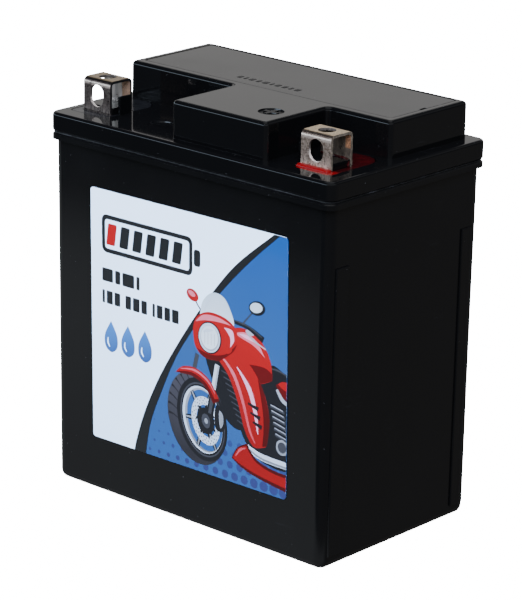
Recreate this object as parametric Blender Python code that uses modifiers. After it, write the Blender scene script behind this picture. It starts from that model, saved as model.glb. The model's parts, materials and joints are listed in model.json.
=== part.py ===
"""Sealed 12-volt motorcycle battery in a 114 x 71 x 131 mm case, with its six cells inside.

The origin is at the centre of the bottom face. +X runs along the long side towards the positive
terminal, -Y is the labelled front and +Z is up. Everything is in metres.
"""

import math

import bmesh
import bpy
from mathutils import Matrix, Vector

MM = 0.001
GAP = 0.3 * MM

# Case and lid outline
LENGTH = 114.0 * MM
DEPTH = 71.0 * MM
CORNER_RADIUS = 3.3 * MM
BODY_INSET = 1.15 * MM
BODY_DRAFT = 0.6 * MM
BOTTOM_RADIUS = 2.6 * MM
FLANGE_LOW = 110.4 * MM
CASE_TOP = 112.45 * MM
LID_LOW = CASE_TOP + GAP
LID_TOP = 118.8 * MM
SEAM_CHAMFER = 0.55 * MM
LID_EDGE_RADIUS = 1.0 * MM

# Raised box along the rear of the lid, and the block that stands out of its front
BOX_TOP = 130.3 * MM
BOX_HALF_LENGTH = 52.45 * MM
BOX_FRONT = -4.55 * MM
BOX_REAR = 31.15 * MM
BLOCK_LEFT = -9.05 * MM
BLOCK_RIGHT = 28.4 * MM
BLOCK_FRONT = -31.6 * MM
BOX_CORNER_RADIUS = 1.6 * MM
BOX_EDGE_RADIUS = 1.2 * MM
LID_WALL = 2.8 * MM
LID_CEILING = 116.3 * MM
BOX_CEILING = 125.3 * MM
BLOCK_CEILING = 127.6 * MM

# Cells, divided by partitions that the lid's ribs meet
CELLS = 6
PARTITION = 1.5 * MM
RIB_STEP = 0.1 * MM
CAVITY_LENGTH = 106.0 * MM
CAVITY_HALF_DEPTH = 31.4 * MM
FLOOR = 3.0 * MM
CELL_PITCH = (CAVITY_LENGTH + PARTITION) / CELLS
CELL_WIDTH = CELL_PITCH - PARTITION

# Upright ribs on the two ends of the case
RIB_INNER = 25.7 * MM
RIB_WIDTH = 5.6 * MM
RIB_PROUD = 0.6 * MM
RIB_LOW = 4.0 * MM
RIB_HIGH = 92.5 * MM
RIB_EDGE_RADIUS = 0.3 * MM

# Recess for the vent cover plate, with one relief valve well over each cell
RECESS_HALF_LENGTH = 49.9 * MM
RECESS_FRONT = -1.5 * MM
RECESS_REAR = 29.3 * MM
RECESS_FLOOR = 127.9 * MM
RECESS_CORNER = 1.5 * MM
COVER_TOP = 130.2 * MM
COVER_EDGE_RADIUS = 0.25 * MM
WELL_Y = (RECESS_FRONT + RECESS_REAR) / 2
WELL_RADIUS = 5.0 * MM
WELL_WALL = 1.4 * MM
WELL_FLOOR = 117.2 * MM
STEM_RADIUS = 2.9 * MM
STEM_TOP = 125.4 * MM
VENT_RADIUS = 1.3 * MM
CAP_RADIUS = 4.2 * MM
CAP_TOP = 127.4 * MM
CAP_LOW = 118.2 * MM
CAP_EDGE = 0.4 * MM
VENT_SLOT_REACH = 1.0 * MM
VENT_SLOT_WIDTH = 2.6 * MM
VENT_SLOT_Y = 14.0 * MM

# Terminals: an upside-down U of plated strip, legs through the lid, a nut pocket inside
NEGATIVE_X = -45.55 * MM
POSITIVE_X = 42.7 * MM
TERMINAL_WIDTH = 11.35 * MM
TERMINAL_FRONT = -26.05 * MM
TERMINAL_REAR = -16.55 * MM
TERMINAL_TOP = 129.1 * MM
TERMINAL_FOOT = 112.0 * MM
STRIP = 0.9 * MM
BEND_RADIUS = 1.6 * MM
FRONT_HOLE_RADIUS = 2.7 * MM
FRONT_HOLE_STRETCH = 0.7 * MM
FRONT_HOLE_Z = 123.9 * MM
TOP_HOLE_RADIUS = 2.65 * MM
TERMINAL_Y = (TERMINAL_FRONT + TERMINAL_REAR) / 2
LEG_RELIEF = 0.25 * MM
PAD_TOP = 120.8 * MM

# Bosses under the lid that the terminals' legs pass through, and the post heads between the legs
BOSS_LOW = 114.6 * MM
BOSS_MARGIN = 2.0 * MM
BOSS_HALF_LENGTH = 7.0 * MM
POST_HEAD_HALF_LENGTH = 4.5 * MM
POST_HEAD_DEPTH = 1.0 * MM

# Potting that seals each terminal, in a pocket of the lid that is round at the rear.
# Distances along X are from the terminal's middle, and outwards is towards the lid's near end.
SEAL_OUTER = 8.1 * MM
SEAL_INNER = 6.7 * MM
SEAL_FRONT = -29.4 * MM
SEAL_REAR = -5.4 * MM
SEAL_REAR_RADIUS = 6.15 * MM
SEAL_OUTER_RADIUS = 1.5 * MM
SEAL_INNER_RADIUS = 4.0 * MM
SEAL_STEPS = 10
SEAL_FLOOR = 117.6 * MM
SEAL_TOP = LID_TOP - 0.05 * MM

# Upright tabs that stop the terminal nuts, on the inner side of each terminal
TAB_DISTANCE = 7.62 * MM
TAB_THICKNESS = 0.85 * MM
TAB_FRONT = -24.2 * MM
TAB_REAR = -19.2 * MM
TAB_TOP = 124.65 * MM
TAB_EDGE_RADIUS = 0.25 * MM

# Polarity marks, recessed discs with a raised sign
MARK_RADIUS = 3.9 * MM
MARK_DEPTH = 0.5 * MM
SIGN_LENGTH = 5.2 * MM
SIGN_WIDTH = 1.3 * MM
SIGN_SUNK = 0.05 * MM
MINUS_X, MINUS_Y = -21.9 * MM, -22.5 * MM
PLUS_X, PLUS_Y = 20.5 * MM, -20.6 * MM

# Plates, separators, straps and links of one cell, centred on the cell
NEGATIVE_PLATE = 1.4 * MM
POSITIVE_PLATE = 1.9 * MM
SEPARATOR = 1.0 * MM
FOLD_RADIUS = 0.5 * MM
PLATE_HALF_DEPTH = 29.0 * MM
PLATE_LOW = 5.0 * MM
PLATE_HIGH = 88.0 * MM
SEPARATOR_LOW = 4.0 * MM
SEPARATOR_HIGH = 91.0 * MM
LUG_Y = TERMINAL_Y
LUG_HALF_WIDTH = 3.5 * MM
STRAP_LOW = 93.0 * MM
STRAP_HIGH = 97.0 * MM
STRAP_HALF_WIDTH = 4.2 * MM
STRAP_HALF_LENGTH = 7.4 * MM
POST_RADIUS = 2.8 * MM
LINK_RADIUS = 2.3 * MM
LINK_Z = 101.3 * MM
LINK_CHEEK = 2.0 * MM

# Printed label on the front
LABEL_WIDTH = 80.1 * MM
LABEL_HEIGHT = 80.3 * MM
LABEL_THICKNESS = 0.15 * MM
LABEL_GAP = 0.1 * MM
LABEL_CORNER = 1.2 * MM
LABEL_CENTRE_X = 0.8 * MM
LABEL_CENTRE_Z = 58.6 * MM
LABEL_TURN = math.radians(0.6)

# How far shapes that are joined reach into each other, and cutters reach past a surface
OVERLAP = 0.5 * MM
CLEAR = 1.0 * MM

ROUND = 32
SMALL_ROUND = 24
CORNER_STEPS = 4
CASE_CORNER_STEPS = 6
NOTHING = 0.0001 * MM


# ---------------------------------------------------------------- scene and helpers


def clear_scene():
    for item in list(bpy.data.objects):
        bpy.data.objects.remove(item)


def new_collection(name):
    collection = bpy.data.collections.new(name)
    bpy.context.scene.collection.children.link(collection)
    return collection


clear_scene()
PARTS = new_collection("motorcycle_battery")
CUTTERS = new_collection("cutters")


def principled(name, colour, roughness, metallic=0.0):
    material = bpy.data.materials.new(name)
    material.use_nodes = True
    shader = material.node_tree.nodes["Principled BSDF"]
    shader.inputs["Base Color"].default_value = (*colour, 1.0)
    shader.inputs["Roughness"].default_value = roughness
    shader.inputs["Metallic"].default_value = metallic
    return material


BLACK_PLASTIC = principled("black_plastic", (0.012, 0.013, 0.014), 0.28)
COVER_PLASTIC = principled("cover_plastic", (0.014, 0.015, 0.016), 0.35)
TINNED_METAL = principled("tinned_metal", (0.56, 0.53, 0.50), 0.35, 1.0)
LEAD = principled("lead", (0.25, 0.26, 0.28), 0.55, 1.0)
NEGATIVE_PASTE = principled("negative_paste", (0.30, 0.31, 0.32), 0.85)
POSITIVE_PASTE = principled("positive_paste", (0.12, 0.05, 0.03), 0.85)
SEPARATOR_FELT = principled("separator_felt", (0.82, 0.82, 0.80), 0.9)
VALVE_RUBBER = principled("valve_rubber", (0.03, 0.03, 0.03), 0.7)
RED_POTTING = principled("red_potting", (0.55, 0.01, 0.01), 0.3)
BLACK_POTTING = principled("black_potting", (0.015, 0.015, 0.016), 0.25)
LABEL_FILM = principled("label_film", (0.68, 0.73, 0.82), 0.3)


def add_object(name, mesh, collection, material=None):
    item = bpy.data.objects.new(name, mesh)
    collection.objects.link(item)
    if material:
        mesh.materials.clear()
        mesh.materials.append(material)
    if collection is CUTTERS:
        item.hide_render = True
        item.display_type = "WIRE"
    return item


def mesh_from(form, name):
    bmesh.ops.recalc_face_normals(form, faces=form.faces)
    mesh = bpy.data.meshes.new(name)
    form.to_mesh(mesh)
    form.free()
    return mesh


def add_box(form, low, high):
    size = Vector(high) - Vector(low)
    middle = (Vector(high) + Vector(low)) / 2
    matrix = Matrix.Translation(middle) @ Matrix.Diagonal((*size, 1.0))
    bmesh.ops.create_cube(form, size=1.0, matrix=matrix)


def add_cylinder(form, radius, start, end, segments=ROUND):
    """A cylinder between two points that differ along one axis."""
    start = Vector(start)
    end = Vector(end)
    along = end - start
    turn = Vector((0, 0, 1)).rotation_difference(along).to_matrix().to_4x4()
    matrix = Matrix.Translation((start + end) / 2) @ turn
    bmesh.ops.create_cone(
        form,
        cap_ends=True,
        segments=segments,
        radius1=radius,
        radius2=radius,
        depth=along.length,
        matrix=matrix,
    )


def add_prism(form, outline, low, high):
    """A flat outline of (x, y) corners, drawn up from low to high."""
    floor = form.faces.new([form.verts.new((x, y, low)) for x, y in outline])
    grown = bmesh.ops.extrude_face_region(form, geom=[floor])
    raised = [item for item in grown["geom"] if isinstance(item, bmesh.types.BMVert)]
    bmesh.ops.translate(form, verts=raised, vec=(0, 0, high - low))


def bevel(form, chosen, width, segments):
    """Rounds the edges for which chosen(start, end) is true; one segment makes a chamfer."""
    edges = [edge for edge in form.edges if chosen(*(vertex.co for vertex in edge.verts))]
    bmesh.ops.bevel(
        form,
        geom=edges,
        offset=width,
        offset_type="OFFSET",
        segments=segments,
        profile=0.5,
        affect="EDGES",
        clamp_overlap=True,
    )


def is_upright(start, end):
    across = math.hypot(start.x - end.x, start.y - end.y)
    return abs(start.z - end.z) > 3 * across


def lies_at(height):
    return lambda start, end: abs(start.z - height) < NOTHING and abs(end.z - height) < NOTHING


def boxes(name, corners, collection=None, material=None):
    form = bmesh.new()
    for low, high in corners:
        add_box(form, low, high)
    return add_object(name, mesh_from(form, name), collection or CUTTERS, material)


def cylinders(name, radius, spans, segments=ROUND):
    form = bmesh.new()
    for start, end in spans:
        add_cylinder(form, radius, start, end, segments)
    return add_object(name, mesh_from(form, name), CUTTERS)


def combine(piece, tool, operation):
    modifier = piece.modifiers.new(f"{operation.lower()}_{tool.name}", "BOOLEAN")
    modifier.operation = operation
    modifier.solver = "EXACT"
    modifier.object = tool


def unite(piece, tool):
    combine(piece, tool, "UNION")


def cut(piece, tool):
    combine(piece, tool, "DIFFERENCE")


def smooth(piece, degrees=30):
    piece.data.shade_smooth()
    piece.data.set_sharp_from_angle(angle=math.radians(degrees))


def rectangle(left, right, front, rear):
    return [(left, front), (right, front), (right, rear), (left, rear)]


def cell_x(cell):
    """The middle of a cell, counted from 1 at the negative end."""
    return (cell - (CELLS + 1) / 2) * CELL_PITCH


def partition_x(wall):
    return (wall - CELLS / 2) * CELL_PITCH


# ---------------------------------------------------------------- case


def draft_at(height):
    """How far a drafted wall stands inside its place at the flange."""
    return BODY_DRAFT * (1 - height / FLANGE_LOW)


def make_case_body():
    form = bmesh.new()
    half_length = LENGTH / 2 - BODY_INSET
    half_depth = DEPTH / 2 - BODY_INSET
    joined_top = FLANGE_LOW + OVERLAP
    add_box(form, (-half_length, -half_depth, 0), (half_length, half_depth, joined_top))
    for vertex in form.verts:
        vertex.co.x -= math.copysign(draft_at(vertex.co.z), vertex.co.x)
        vertex.co.y -= math.copysign(draft_at(vertex.co.z), vertex.co.y)
    bevel(form, is_upright, CORNER_RADIUS, CASE_CORNER_STEPS)
    bevel(form, lies_at(0), BOTTOM_RADIUS, CORNER_STEPS)
    return add_object("case", mesh_from(form, "case"), PARTS, BLACK_PLASTIC)


def make_case_flange():
    form = bmesh.new()
    add_box(form, (-LENGTH / 2, -DEPTH / 2, FLANGE_LOW), (LENGTH / 2, DEPTH / 2, CASE_TOP))
    bevel(form, is_upright, CORNER_RADIUS, CASE_CORNER_STEPS)
    bevel(form, lies_at(CASE_TOP), SEAM_CHAMFER, 1)
    return add_object("case_flange", mesh_from(form, "case_flange"), CUTTERS)


def make_end_ribs():
    face = LENGTH / 2 - BODY_INSET - BODY_DRAFT
    rooted = face - CLEAR
    proud = LENGTH / 2 - BODY_INSET + RIB_PROUD
    form = bmesh.new()
    for end in (-1, 1):
        for side in (-1, 1):
            root_x, proud_x = sorted((end * rooted, end * proud))
            near_y, far_y = sorted((side * RIB_INNER, side * (RIB_INNER + RIB_WIDTH)))
            add_box(form, (root_x, near_y, RIB_LOW), (proud_x, far_y, RIB_HIGH))
    for vertex in form.verts:
        vertex.co.x -= math.copysign(draft_at(vertex.co.z), vertex.co.x)
    outer = lambda start, end: min(abs(start.x), abs(end.x)) > face
    bevel(form, outer, RIB_EDGE_RADIUS, 2)
    return add_object("end_ribs", mesh_from(form, "end_ribs"), CUTTERS)


def make_case():
    case = make_case_body()
    unite(case, make_case_flange())
    unite(case, make_end_ribs())
    half = CELL_WIDTH / 2
    hollows = []
    for cell in range(1, CELLS + 1):
        middle = cell_x(cell)
        low = (middle - half, -CAVITY_HALF_DEPTH, FLOOR)
        high = (middle + half, CAVITY_HALF_DEPTH, CASE_TOP + CLEAR)
        hollows.append((low, high))
    cut(case, boxes("cell_hollows", hollows))
    holes = []
    for wall in range(1, CELLS):
        x = partition_x(wall)
        y = link_y(wall)
        holes.append(((x - PARTITION, y, LINK_Z), (x + PARTITION, y, LINK_Z)))
    cut(case, cylinders("link_holes", LINK_RADIUS + GAP, holes, SMALL_ROUND))
    smooth(case)
    return case


# ---------------------------------------------------------------- lid


def raised_outline(inset=0.0):
    """The raised box and the block in front of it, drawn as one outline."""
    left = -BOX_HALF_LENGTH + inset
    right = BOX_HALF_LENGTH - inset
    front = BOX_FRONT + inset
    rear = BOX_REAR - inset
    block_left = BLOCK_LEFT + inset
    block_right = BLOCK_RIGHT - inset
    block_front = BLOCK_FRONT + inset
    return [
        (left, front),
        (block_left, front),
        (block_left, block_front),
        (block_right, block_front),
        (block_right, front),
        (right, front),
        (right, rear),
        (left, rear),
    ]


def make_skirt():
    form = bmesh.new()
    add_box(form, (-LENGTH / 2, -DEPTH / 2, LID_LOW), (LENGTH / 2, DEPTH / 2, LID_TOP))
    bevel(form, is_upright, CORNER_RADIUS, CASE_CORNER_STEPS)
    bevel(form, lies_at(LID_LOW), SEAM_CHAMFER, 1)
    bevel(form, lies_at(LID_TOP), LID_EDGE_RADIUS, CORNER_STEPS)
    return add_object("lid", mesh_from(form, "lid"), PARTS, BLACK_PLASTIC)


def make_raised_box():
    form = bmesh.new()
    add_prism(form, raised_outline(), LID_CEILING + OVERLAP, BOX_TOP)
    bevel(form, is_upright, BOX_CORNER_RADIUS, CORNER_STEPS)
    bevel(form, lies_at(BOX_TOP), BOX_EDGE_RADIUS, CORNER_STEPS)
    return add_object("raised_box", mesh_from(form, "raised_box"), CUTTERS)


def make_prism_cutter(name, outline, low, high, corner=0.0):
    form = bmesh.new()
    add_prism(form, outline, low, high)
    if corner:
        bevel(form, is_upright, corner, CORNER_STEPS)
    return add_object(name, mesh_from(form, name), CUTTERS)


def hollow_lid(lid):
    half_length = CAVITY_LENGTH / 2
    half_depth = CAVITY_HALF_DEPTH
    low = (-half_length, -half_depth, LID_LOW - CLEAR)
    cut(lid, boxes("lid_hollow", [(low, (half_length, half_depth, LID_CEILING))]))
    outline = raised_outline(LID_WALL)
    cut(lid, make_prism_cutter("box_hollow", outline, LID_CEILING - CLEAR, BOX_CEILING))
    block_low = (BLOCK_LEFT + LID_WALL, BLOCK_FRONT + LID_WALL, BOX_CEILING - CLEAR)
    block_high = (BLOCK_RIGHT - LID_WALL, BOX_FRONT - CLEAR, BLOCK_CEILING)
    cut(lid, boxes("block_hollow", [(block_low, block_high)]))


def add_lid_ribs(lid):
    """Ribs under the lid that meet the case's partitions, so that each cell is closed.

    Each higher rib is a little thinner than the one that it stands on, as a moulded rib is.
    """
    low_ribs = []
    box_ribs = []
    block_ribs = []
    reach = CAVITY_HALF_DEPTH + OVERLAP
    for wall in range(1, CELLS):
        x = partition_x(wall)
        half = PARTITION / 2
        low_ribs.append(((x - half, -reach, LID_LOW), (x + half, reach, LID_CEILING + OVERLAP)))
        half -= RIB_STEP
        front = BOX_FRONT + LID_WALL - OVERLAP
        rear = BOX_REAR - LID_WALL + OVERLAP
        box_ribs.append(((x - half, front, LID_CEILING), (x + half, rear, BOX_CEILING + OVERLAP)))
        if BLOCK_LEFT < x < BLOCK_RIGHT:
            half -= RIB_STEP
            front = BLOCK_FRONT + LID_WALL - OVERLAP
            rear = BOX_FRONT + LID_WALL
            low = (x - half, front, LID_CEILING + RIB_STEP)
            block_ribs.append((low, (x + half, rear, BLOCK_CEILING + OVERLAP)))
    unite(lid, boxes("low_ribs", low_ribs))
    unite(lid, boxes("box_ribs", box_ribs))
    unite(lid, boxes("block_ribs", block_ribs))


def add_valve_wells(lid):
    """A well over each cell, open to the cover's recess, with a vent stem on its floor."""
    tubes = []
    bores = []
    stems = []
    vents = []
    for cell in range(1, CELLS + 1):
        x = cell_x(cell)
        bottom = WELL_FLOOR - WELL_WALL
        tubes.append(((x, WELL_Y, bottom), (x, WELL_Y, BOX_CEILING + OVERLAP)))
        bores.append(((x, WELL_Y, WELL_FLOOR), (x, WELL_Y, RECESS_FLOOR + CLEAR)))
        stems.append(((x, WELL_Y, WELL_FLOOR - OVERLAP), (x, WELL_Y, STEM_TOP)))
        vents.append(((x, WELL_Y, bottom - CLEAR), (x, WELL_Y, STEM_TOP + CLEAR)))
    unite(lid, cylinders("well_tubes", WELL_RADIUS + WELL_WALL, tubes, SMALL_ROUND))
    outline = rectangle(-RECESS_HALF_LENGTH, RECESS_HALF_LENGTH, RECESS_FRONT, RECESS_REAR)
    high = BOX_TOP + CLEAR
    cut(lid, make_prism_cutter("cover_recess", outline, RECESS_FLOOR, high, RECESS_CORNER))
    cut(lid, cylinders("well_bores", WELL_RADIUS, bores, SMALL_ROUND))
    unite(lid, cylinders("vent_stems", STEM_RADIUS, stems, SMALL_ROUND))
    cut(lid, cylinders("vent_holes", VENT_RADIUS, vents, SMALL_ROUND))


def rounded_outline(corners):
    """An outline from (x, y, radius) corners with right angles, anticlockwise from the front left."""
    points = []
    for number, (x, y, radius) in enumerate(corners):
        turned = math.pi + number * math.pi / 2
        centre_x = x - radius * math.copysign(1, math.cos(turned + math.pi / 4))
        centre_y = y - radius * math.copysign(1, math.sin(turned + math.pi / 4))
        for step in range(SEAL_STEPS + 1):
            angle = turned + math.pi / 2 * step / SEAL_STEPS
            across = radius * math.cos(angle)
            along = radius * math.sin(angle)
            points.append((centre_x + across, centre_y + along))
    return points


def seal_outline(terminal_x, margin=0.0):
    """The potting's outline around a terminal, or its pocket's with a margin around that."""
    outwards = math.copysign(1, terminal_x)
    reach = {outwards: SEAL_OUTER + margin, -outwards: SEAL_INNER + margin}
    front_radius = {outwards: SEAL_OUTER_RADIUS + margin, -outwards: SEAL_INNER_RADIUS + margin}
    left = terminal_x - reach[-1]
    right = terminal_x + reach[1]
    front = SEAL_FRONT - margin
    rear = SEAL_REAR + margin
    rear_radius = SEAL_REAR_RADIUS + margin
    return rounded_outline(
        [
            (left, front, front_radius[-1]),
            (right, front, front_radius[1]),
            (right, rear, rear_radius),
            (left, rear, rear_radius),
        ]
    )


def add_pockets(lid):
    """The pockets for the potting and the two polarity discs."""
    form = bmesh.new()
    for x in (NEGATIVE_X, POSITIVE_X):
        add_prism(form, seal_outline(x, GAP), SEAL_FLOOR, LID_TOP + CLEAR)
    for x, y, top in ((MINUS_X, MINUS_Y, LID_TOP), (PLUS_X, PLUS_Y, BOX_TOP)):
        add_cylinder(form, MARK_RADIUS, (x, y, top - MARK_DEPTH), (x, y, top + CLEAR))
    cut(lid, add_object("pockets", mesh_from(form, "pockets"), CUTTERS))


def plus_outline(x, y):
    """A plus sign's twelve corners, anticlockwise."""
    arm = SIGN_LENGTH / 2
    half = SIGN_WIDTH / 2
    quarter = [(half, -arm), (half, -half), (arm, -half)]
    points = []
    for turn in range(4):
        for across, along in quarter:
            for _ in range(turn):
                across, along = -along, across
            points.append((x + across, y + along))
    return points


def add_standing_features(lid):
    """The nut pads, the tabs beside the terminals and the raised signs."""
    form = bmesh.new()
    pad_half = TERMINAL_WIDTH / 2
    for x, inner in ((NEGATIVE_X, 1), (POSITIVE_X, -1)):
        front = TERMINAL_FRONT + STRIP + GAP
        rear = TERMINAL_REAR - STRIP - GAP
        pad_low = SEAL_FLOOR - OVERLAP
        add_box(form, (x - pad_half, front, pad_low), (x + pad_half, rear, PAD_TOP))
        tab_x = x + inner * TAB_DISTANCE
        low = (tab_x - TAB_THICKNESS / 2, TAB_FRONT, LID_TOP - OVERLAP)
        add_box(form, low, (tab_x + TAB_THICKNESS / 2, TAB_REAR, TAB_TOP))
    bevel(form, lies_at(TAB_TOP), TAB_EDGE_RADIUS, 2)
    sign_low = LID_TOP - MARK_DEPTH - OVERLAP
    half_length = SIGN_LENGTH / 2
    half_width = SIGN_WIDTH / 2
    low = (MINUS_X - half_length, MINUS_Y - half_width, sign_low)
    add_box(form, low, (MINUS_X + half_length, MINUS_Y + half_width, LID_TOP - SIGN_SUNK))
    sign_low = BOX_TOP - MARK_DEPTH - OVERLAP
    add_prism(form, plus_outline(PLUS_X, PLUS_Y), sign_low, BOX_TOP - SIGN_SUNK)
    unite(lid, add_object("standing_features", mesh_from(form, "standing_features"), CUTTERS))


def add_terminal_bosses(lid):
    """Thicker places under the lid, for the terminals' legs."""
    spans = []
    front = TERMINAL_FRONT - BOSS_MARGIN
    rear = TERMINAL_REAR + BOSS_MARGIN
    for x in (NEGATIVE_X, POSITIVE_X):
        low = (x - BOSS_HALF_LENGTH, front, BOSS_LOW)
        spans.append((low, (x + BOSS_HALF_LENGTH, rear, LID_CEILING + OVERLAP)))
    unite(lid, boxes("terminal_bosses", spans))


def cut_leg_slots(lid):
    spans = []
    half = TERMINAL_WIDTH / 2 + GAP
    for x in (NEGATIVE_X, POSITIVE_X):
        for outer, inner in (
            (TERMINAL_FRONT - GAP, TERMINAL_FRONT + STRIP + GAP),
            (TERMINAL_REAR - STRIP - GAP, TERMINAL_REAR + GAP),
        ):
            low = (x - half, outer, BOSS_LOW - CLEAR)
            spans.append((low, (x + half, inner, SEAL_FLOOR + CLEAR)))
    cut(lid, boxes("leg_slots", spans))


def make_lid():
    lid = make_skirt()
    unite(lid, make_raised_box())
    hollow_lid(lid)
    add_terminal_bosses(lid)
    add_lid_ribs(lid)
    add_valve_wells(lid)
    add_pockets(lid)
    add_standing_features(lid)
    cut_leg_slots(lid)
    smooth(lid)
    return lid


# ---------------------------------------------------------------- vent cover and valves


def make_cover_plate():
    form = bmesh.new()
    outline = rectangle(
        -RECESS_HALF_LENGTH + GAP,
        RECESS_HALF_LENGTH - GAP,
        RECESS_FRONT + GAP,
        RECESS_REAR - GAP,
    )
    add_prism(form, outline, RECESS_FLOOR + GAP, COVER_TOP)
    bevel(form, is_upright, RECESS_CORNER - GAP, CORNER_STEPS)
    bevel(form, lies_at(COVER_TOP), COVER_EDGE_RADIUS, 2)
    plate = add_object("vent_cover_plate", mesh_from(form, "vent_cover_plate"), PARTS, COVER_PLASTIC)
    end = RECESS_HALF_LENGTH - GAP
    half = VENT_SLOT_WIDTH / 2
    low = (end - VENT_SLOT_REACH, VENT_SLOT_Y - half, RECESS_FLOOR - CLEAR)
    high = (end + CLEAR, VENT_SLOT_Y + half, COVER_TOP + CLEAR)
    cut(plate, boxes("vent_slot", [(low, high)]))
    smooth(plate)


def make_valve_cap_mesh():
    """A rubber cup turned about its own axis, upside down over the stem."""
    ceiling = STEM_TOP + GAP
    bore = STEM_RADIUS + GAP
    profile = [
        (0.0, CAP_TOP),
        (CAP_RADIUS - CAP_EDGE, CAP_TOP),
        (CAP_RADIUS, CAP_TOP - CAP_EDGE),
        (CAP_RADIUS, CAP_LOW),
        (bore, CAP_LOW),
        (bore, ceiling),
        (0.0, ceiling),
    ]
    form = bmesh.new()
    rim = [form.verts.new((radius, 0, height - CAP_LOW)) for radius, height in profile]
    for start, end in zip(rim, rim[1:]):
        form.edges.new((start, end))
    bmesh.ops.spin(
        form,
        geom=form.verts[:] + form.edges[:],
        cent=(0, 0, 0),
        axis=(0, 0, 1),
        angle=math.tau,
        steps=SMALL_ROUND,
    )
    bmesh.ops.remove_doubles(form, verts=form.verts, dist=NOTHING)
    return mesh_from(form, "valve_cap")


def make_valve_caps():
    mesh = make_valve_cap_mesh()
    for cell in range(1, CELLS + 1):
        cap = add_object(f"valve_cap_{cell}", mesh, PARTS, VALVE_RUBBER)
        cap.location = (cell_x(cell), WELL_Y, CAP_LOW)
        smooth(cap)


# ---------------------------------------------------------------- terminals


def make_bent_strip(name):
    """The folded strip, centred on x = 0, with its two outer bends rounded."""
    half = TERMINAL_WIDTH / 2
    form = bmesh.new()
    add_box(form, (-half, TERMINAL_FRONT, TERMINAL_FOOT), (half, TERMINAL_REAR, TERMINAL_TOP))
    runs_across = lambda start, end: lies_at(TERMINAL_TOP)(start, end) and abs(start.x - end.x) > half
    bevel(form, runs_across, BEND_RADIUS, 6)
    strip = add_object(name, mesh_from(form, name), PARTS, TINNED_METAL)
    form = bmesh.new()
    ceiling = TERMINAL_TOP - STRIP
    low = (-half - CLEAR, TERMINAL_FRONT + STRIP, TERMINAL_FOOT - CLEAR)
    add_box(form, low, (half + CLEAR, TERMINAL_REAR - STRIP, ceiling))
    inner = lambda start, end: lies_at(ceiling)(start, end) and abs(start.x - end.x) > half
    bevel(form, inner, BEND_RADIUS - STRIP, 4)
    inside = add_object(f"{name}_inside", mesh_from(form, f"{name}_inside"), CUTTERS)
    return strip, inside


def make_terminal_holes(name):
    """The bolt holes: an upright slot in the front plate and a round hole in the top one."""
    form = bmesh.new()
    start = (0, TERMINAL_FRONT - CLEAR, FRONT_HOLE_Z)
    end = (0, TERMINAL_FRONT + STRIP + CLEAR, FRONT_HOLE_Z)
    add_cylinder(form, FRONT_HOLE_RADIUS, start, end)
    for vertex in form.verts:
        vertex.co.z += math.copysign(FRONT_HOLE_STRETCH, vertex.co.z - FRONT_HOLE_Z)
    under = (0, TERMINAL_Y, TERMINAL_TOP - STRIP - CLEAR)
    add_cylinder(form, TOP_HOLE_RADIUS, under, (0, TERMINAL_Y, TERMINAL_TOP + CLEAR))
    return add_object(f"{name}_holes", mesh_from(form, f"{name}_holes"), CUTTERS)


def make_leg_relief(name):
    """Thins the legs a little from the lid's top downwards, so that each plate ends above the lid."""
    half = TERMINAL_WIDTH / 2 + CLEAR
    low = TERMINAL_FOOT - CLEAR
    high = LID_TOP + GAP
    front = ((-half, TERMINAL_FRONT - CLEAR, low), (half, TERMINAL_FRONT + LEG_RELIEF, high))
    rear = ((-half, TERMINAL_REAR - LEG_RELIEF, low), (half, TERMINAL_REAR + CLEAR, high))
    return boxes(f"{name}_relief", [front, rear])


def make_terminal(name, x):
    strip, inside = make_bent_strip(name)
    holes = make_terminal_holes(name)
    relief = make_leg_relief(name)
    for item in (strip, inside, holes, relief):
        item.location.x = x
    for cutter in (inside, holes, relief):
        cut(strip, cutter)
    smooth(strip)


def make_seal(name, terminal_x, material):
    form = bmesh.new()
    add_prism(form, seal_outline(terminal_x), SEAL_FLOOR + GAP, SEAL_TOP)
    seal = add_object(name, mesh_from(form, name), PARTS, material)
    half = TERMINAL_WIDTH / 2 + GAP
    low = (terminal_x - half, TERMINAL_FRONT - GAP, SEAL_FLOOR - CLEAR)
    high = (terminal_x + half, TERMINAL_REAR + GAP, LID_TOP + CLEAR)
    cut(seal, boxes(f"{name}_window", [(low, high)]))
    smooth(seal)


def make_post(name, x):
    """Lead post: a head between the terminal's legs, on a round column that stands on the strap."""
    head_low = TERMINAL_FOOT - POST_HEAD_DEPTH
    head_high = BOSS_LOW - GAP
    front = TERMINAL_FRONT + STRIP + GAP
    rear = TERMINAL_REAR - STRIP - GAP
    half = POST_HEAD_HALF_LENGTH
    post = boxes(name, [((x - half, front, head_low), (x + half, rear, head_high))], PARTS, LEAD)
    foot = (x, TERMINAL_Y, STRAP_HIGH + GAP)
    neck = (x, TERMINAL_Y, head_low + OVERLAP)
    unite(post, cylinders(f"{name}_column", POST_RADIUS, [(foot, neck)]))
    smooth(post)


# ---------------------------------------------------------------- cells


def link_y(wall):
    """Links change sides from one partition to the next; the first one is at the rear."""
    return -LUG_Y if wall % 2 else LUG_Y


def plate_outline(side):
    """One plate seen along X, as (y, z) corners, with its lug on the given side."""
    lug = side * abs(LUG_Y)
    lug_top = STRAP_LOW + OVERLAP
    return [
        (-PLATE_HALF_DEPTH, PLATE_LOW),
        (PLATE_HALF_DEPTH, PLATE_LOW),
        (PLATE_HALF_DEPTH, PLATE_HIGH),
        (lug + LUG_HALF_WIDTH, PLATE_HIGH),
        (lug + LUG_HALF_WIDTH, lug_top),
        (lug - LUG_HALF_WIDTH, lug_top),
        (lug - LUG_HALF_WIDTH, PLATE_HIGH),
        (-PLATE_HALF_DEPTH, PLATE_HIGH),
    ]


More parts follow.
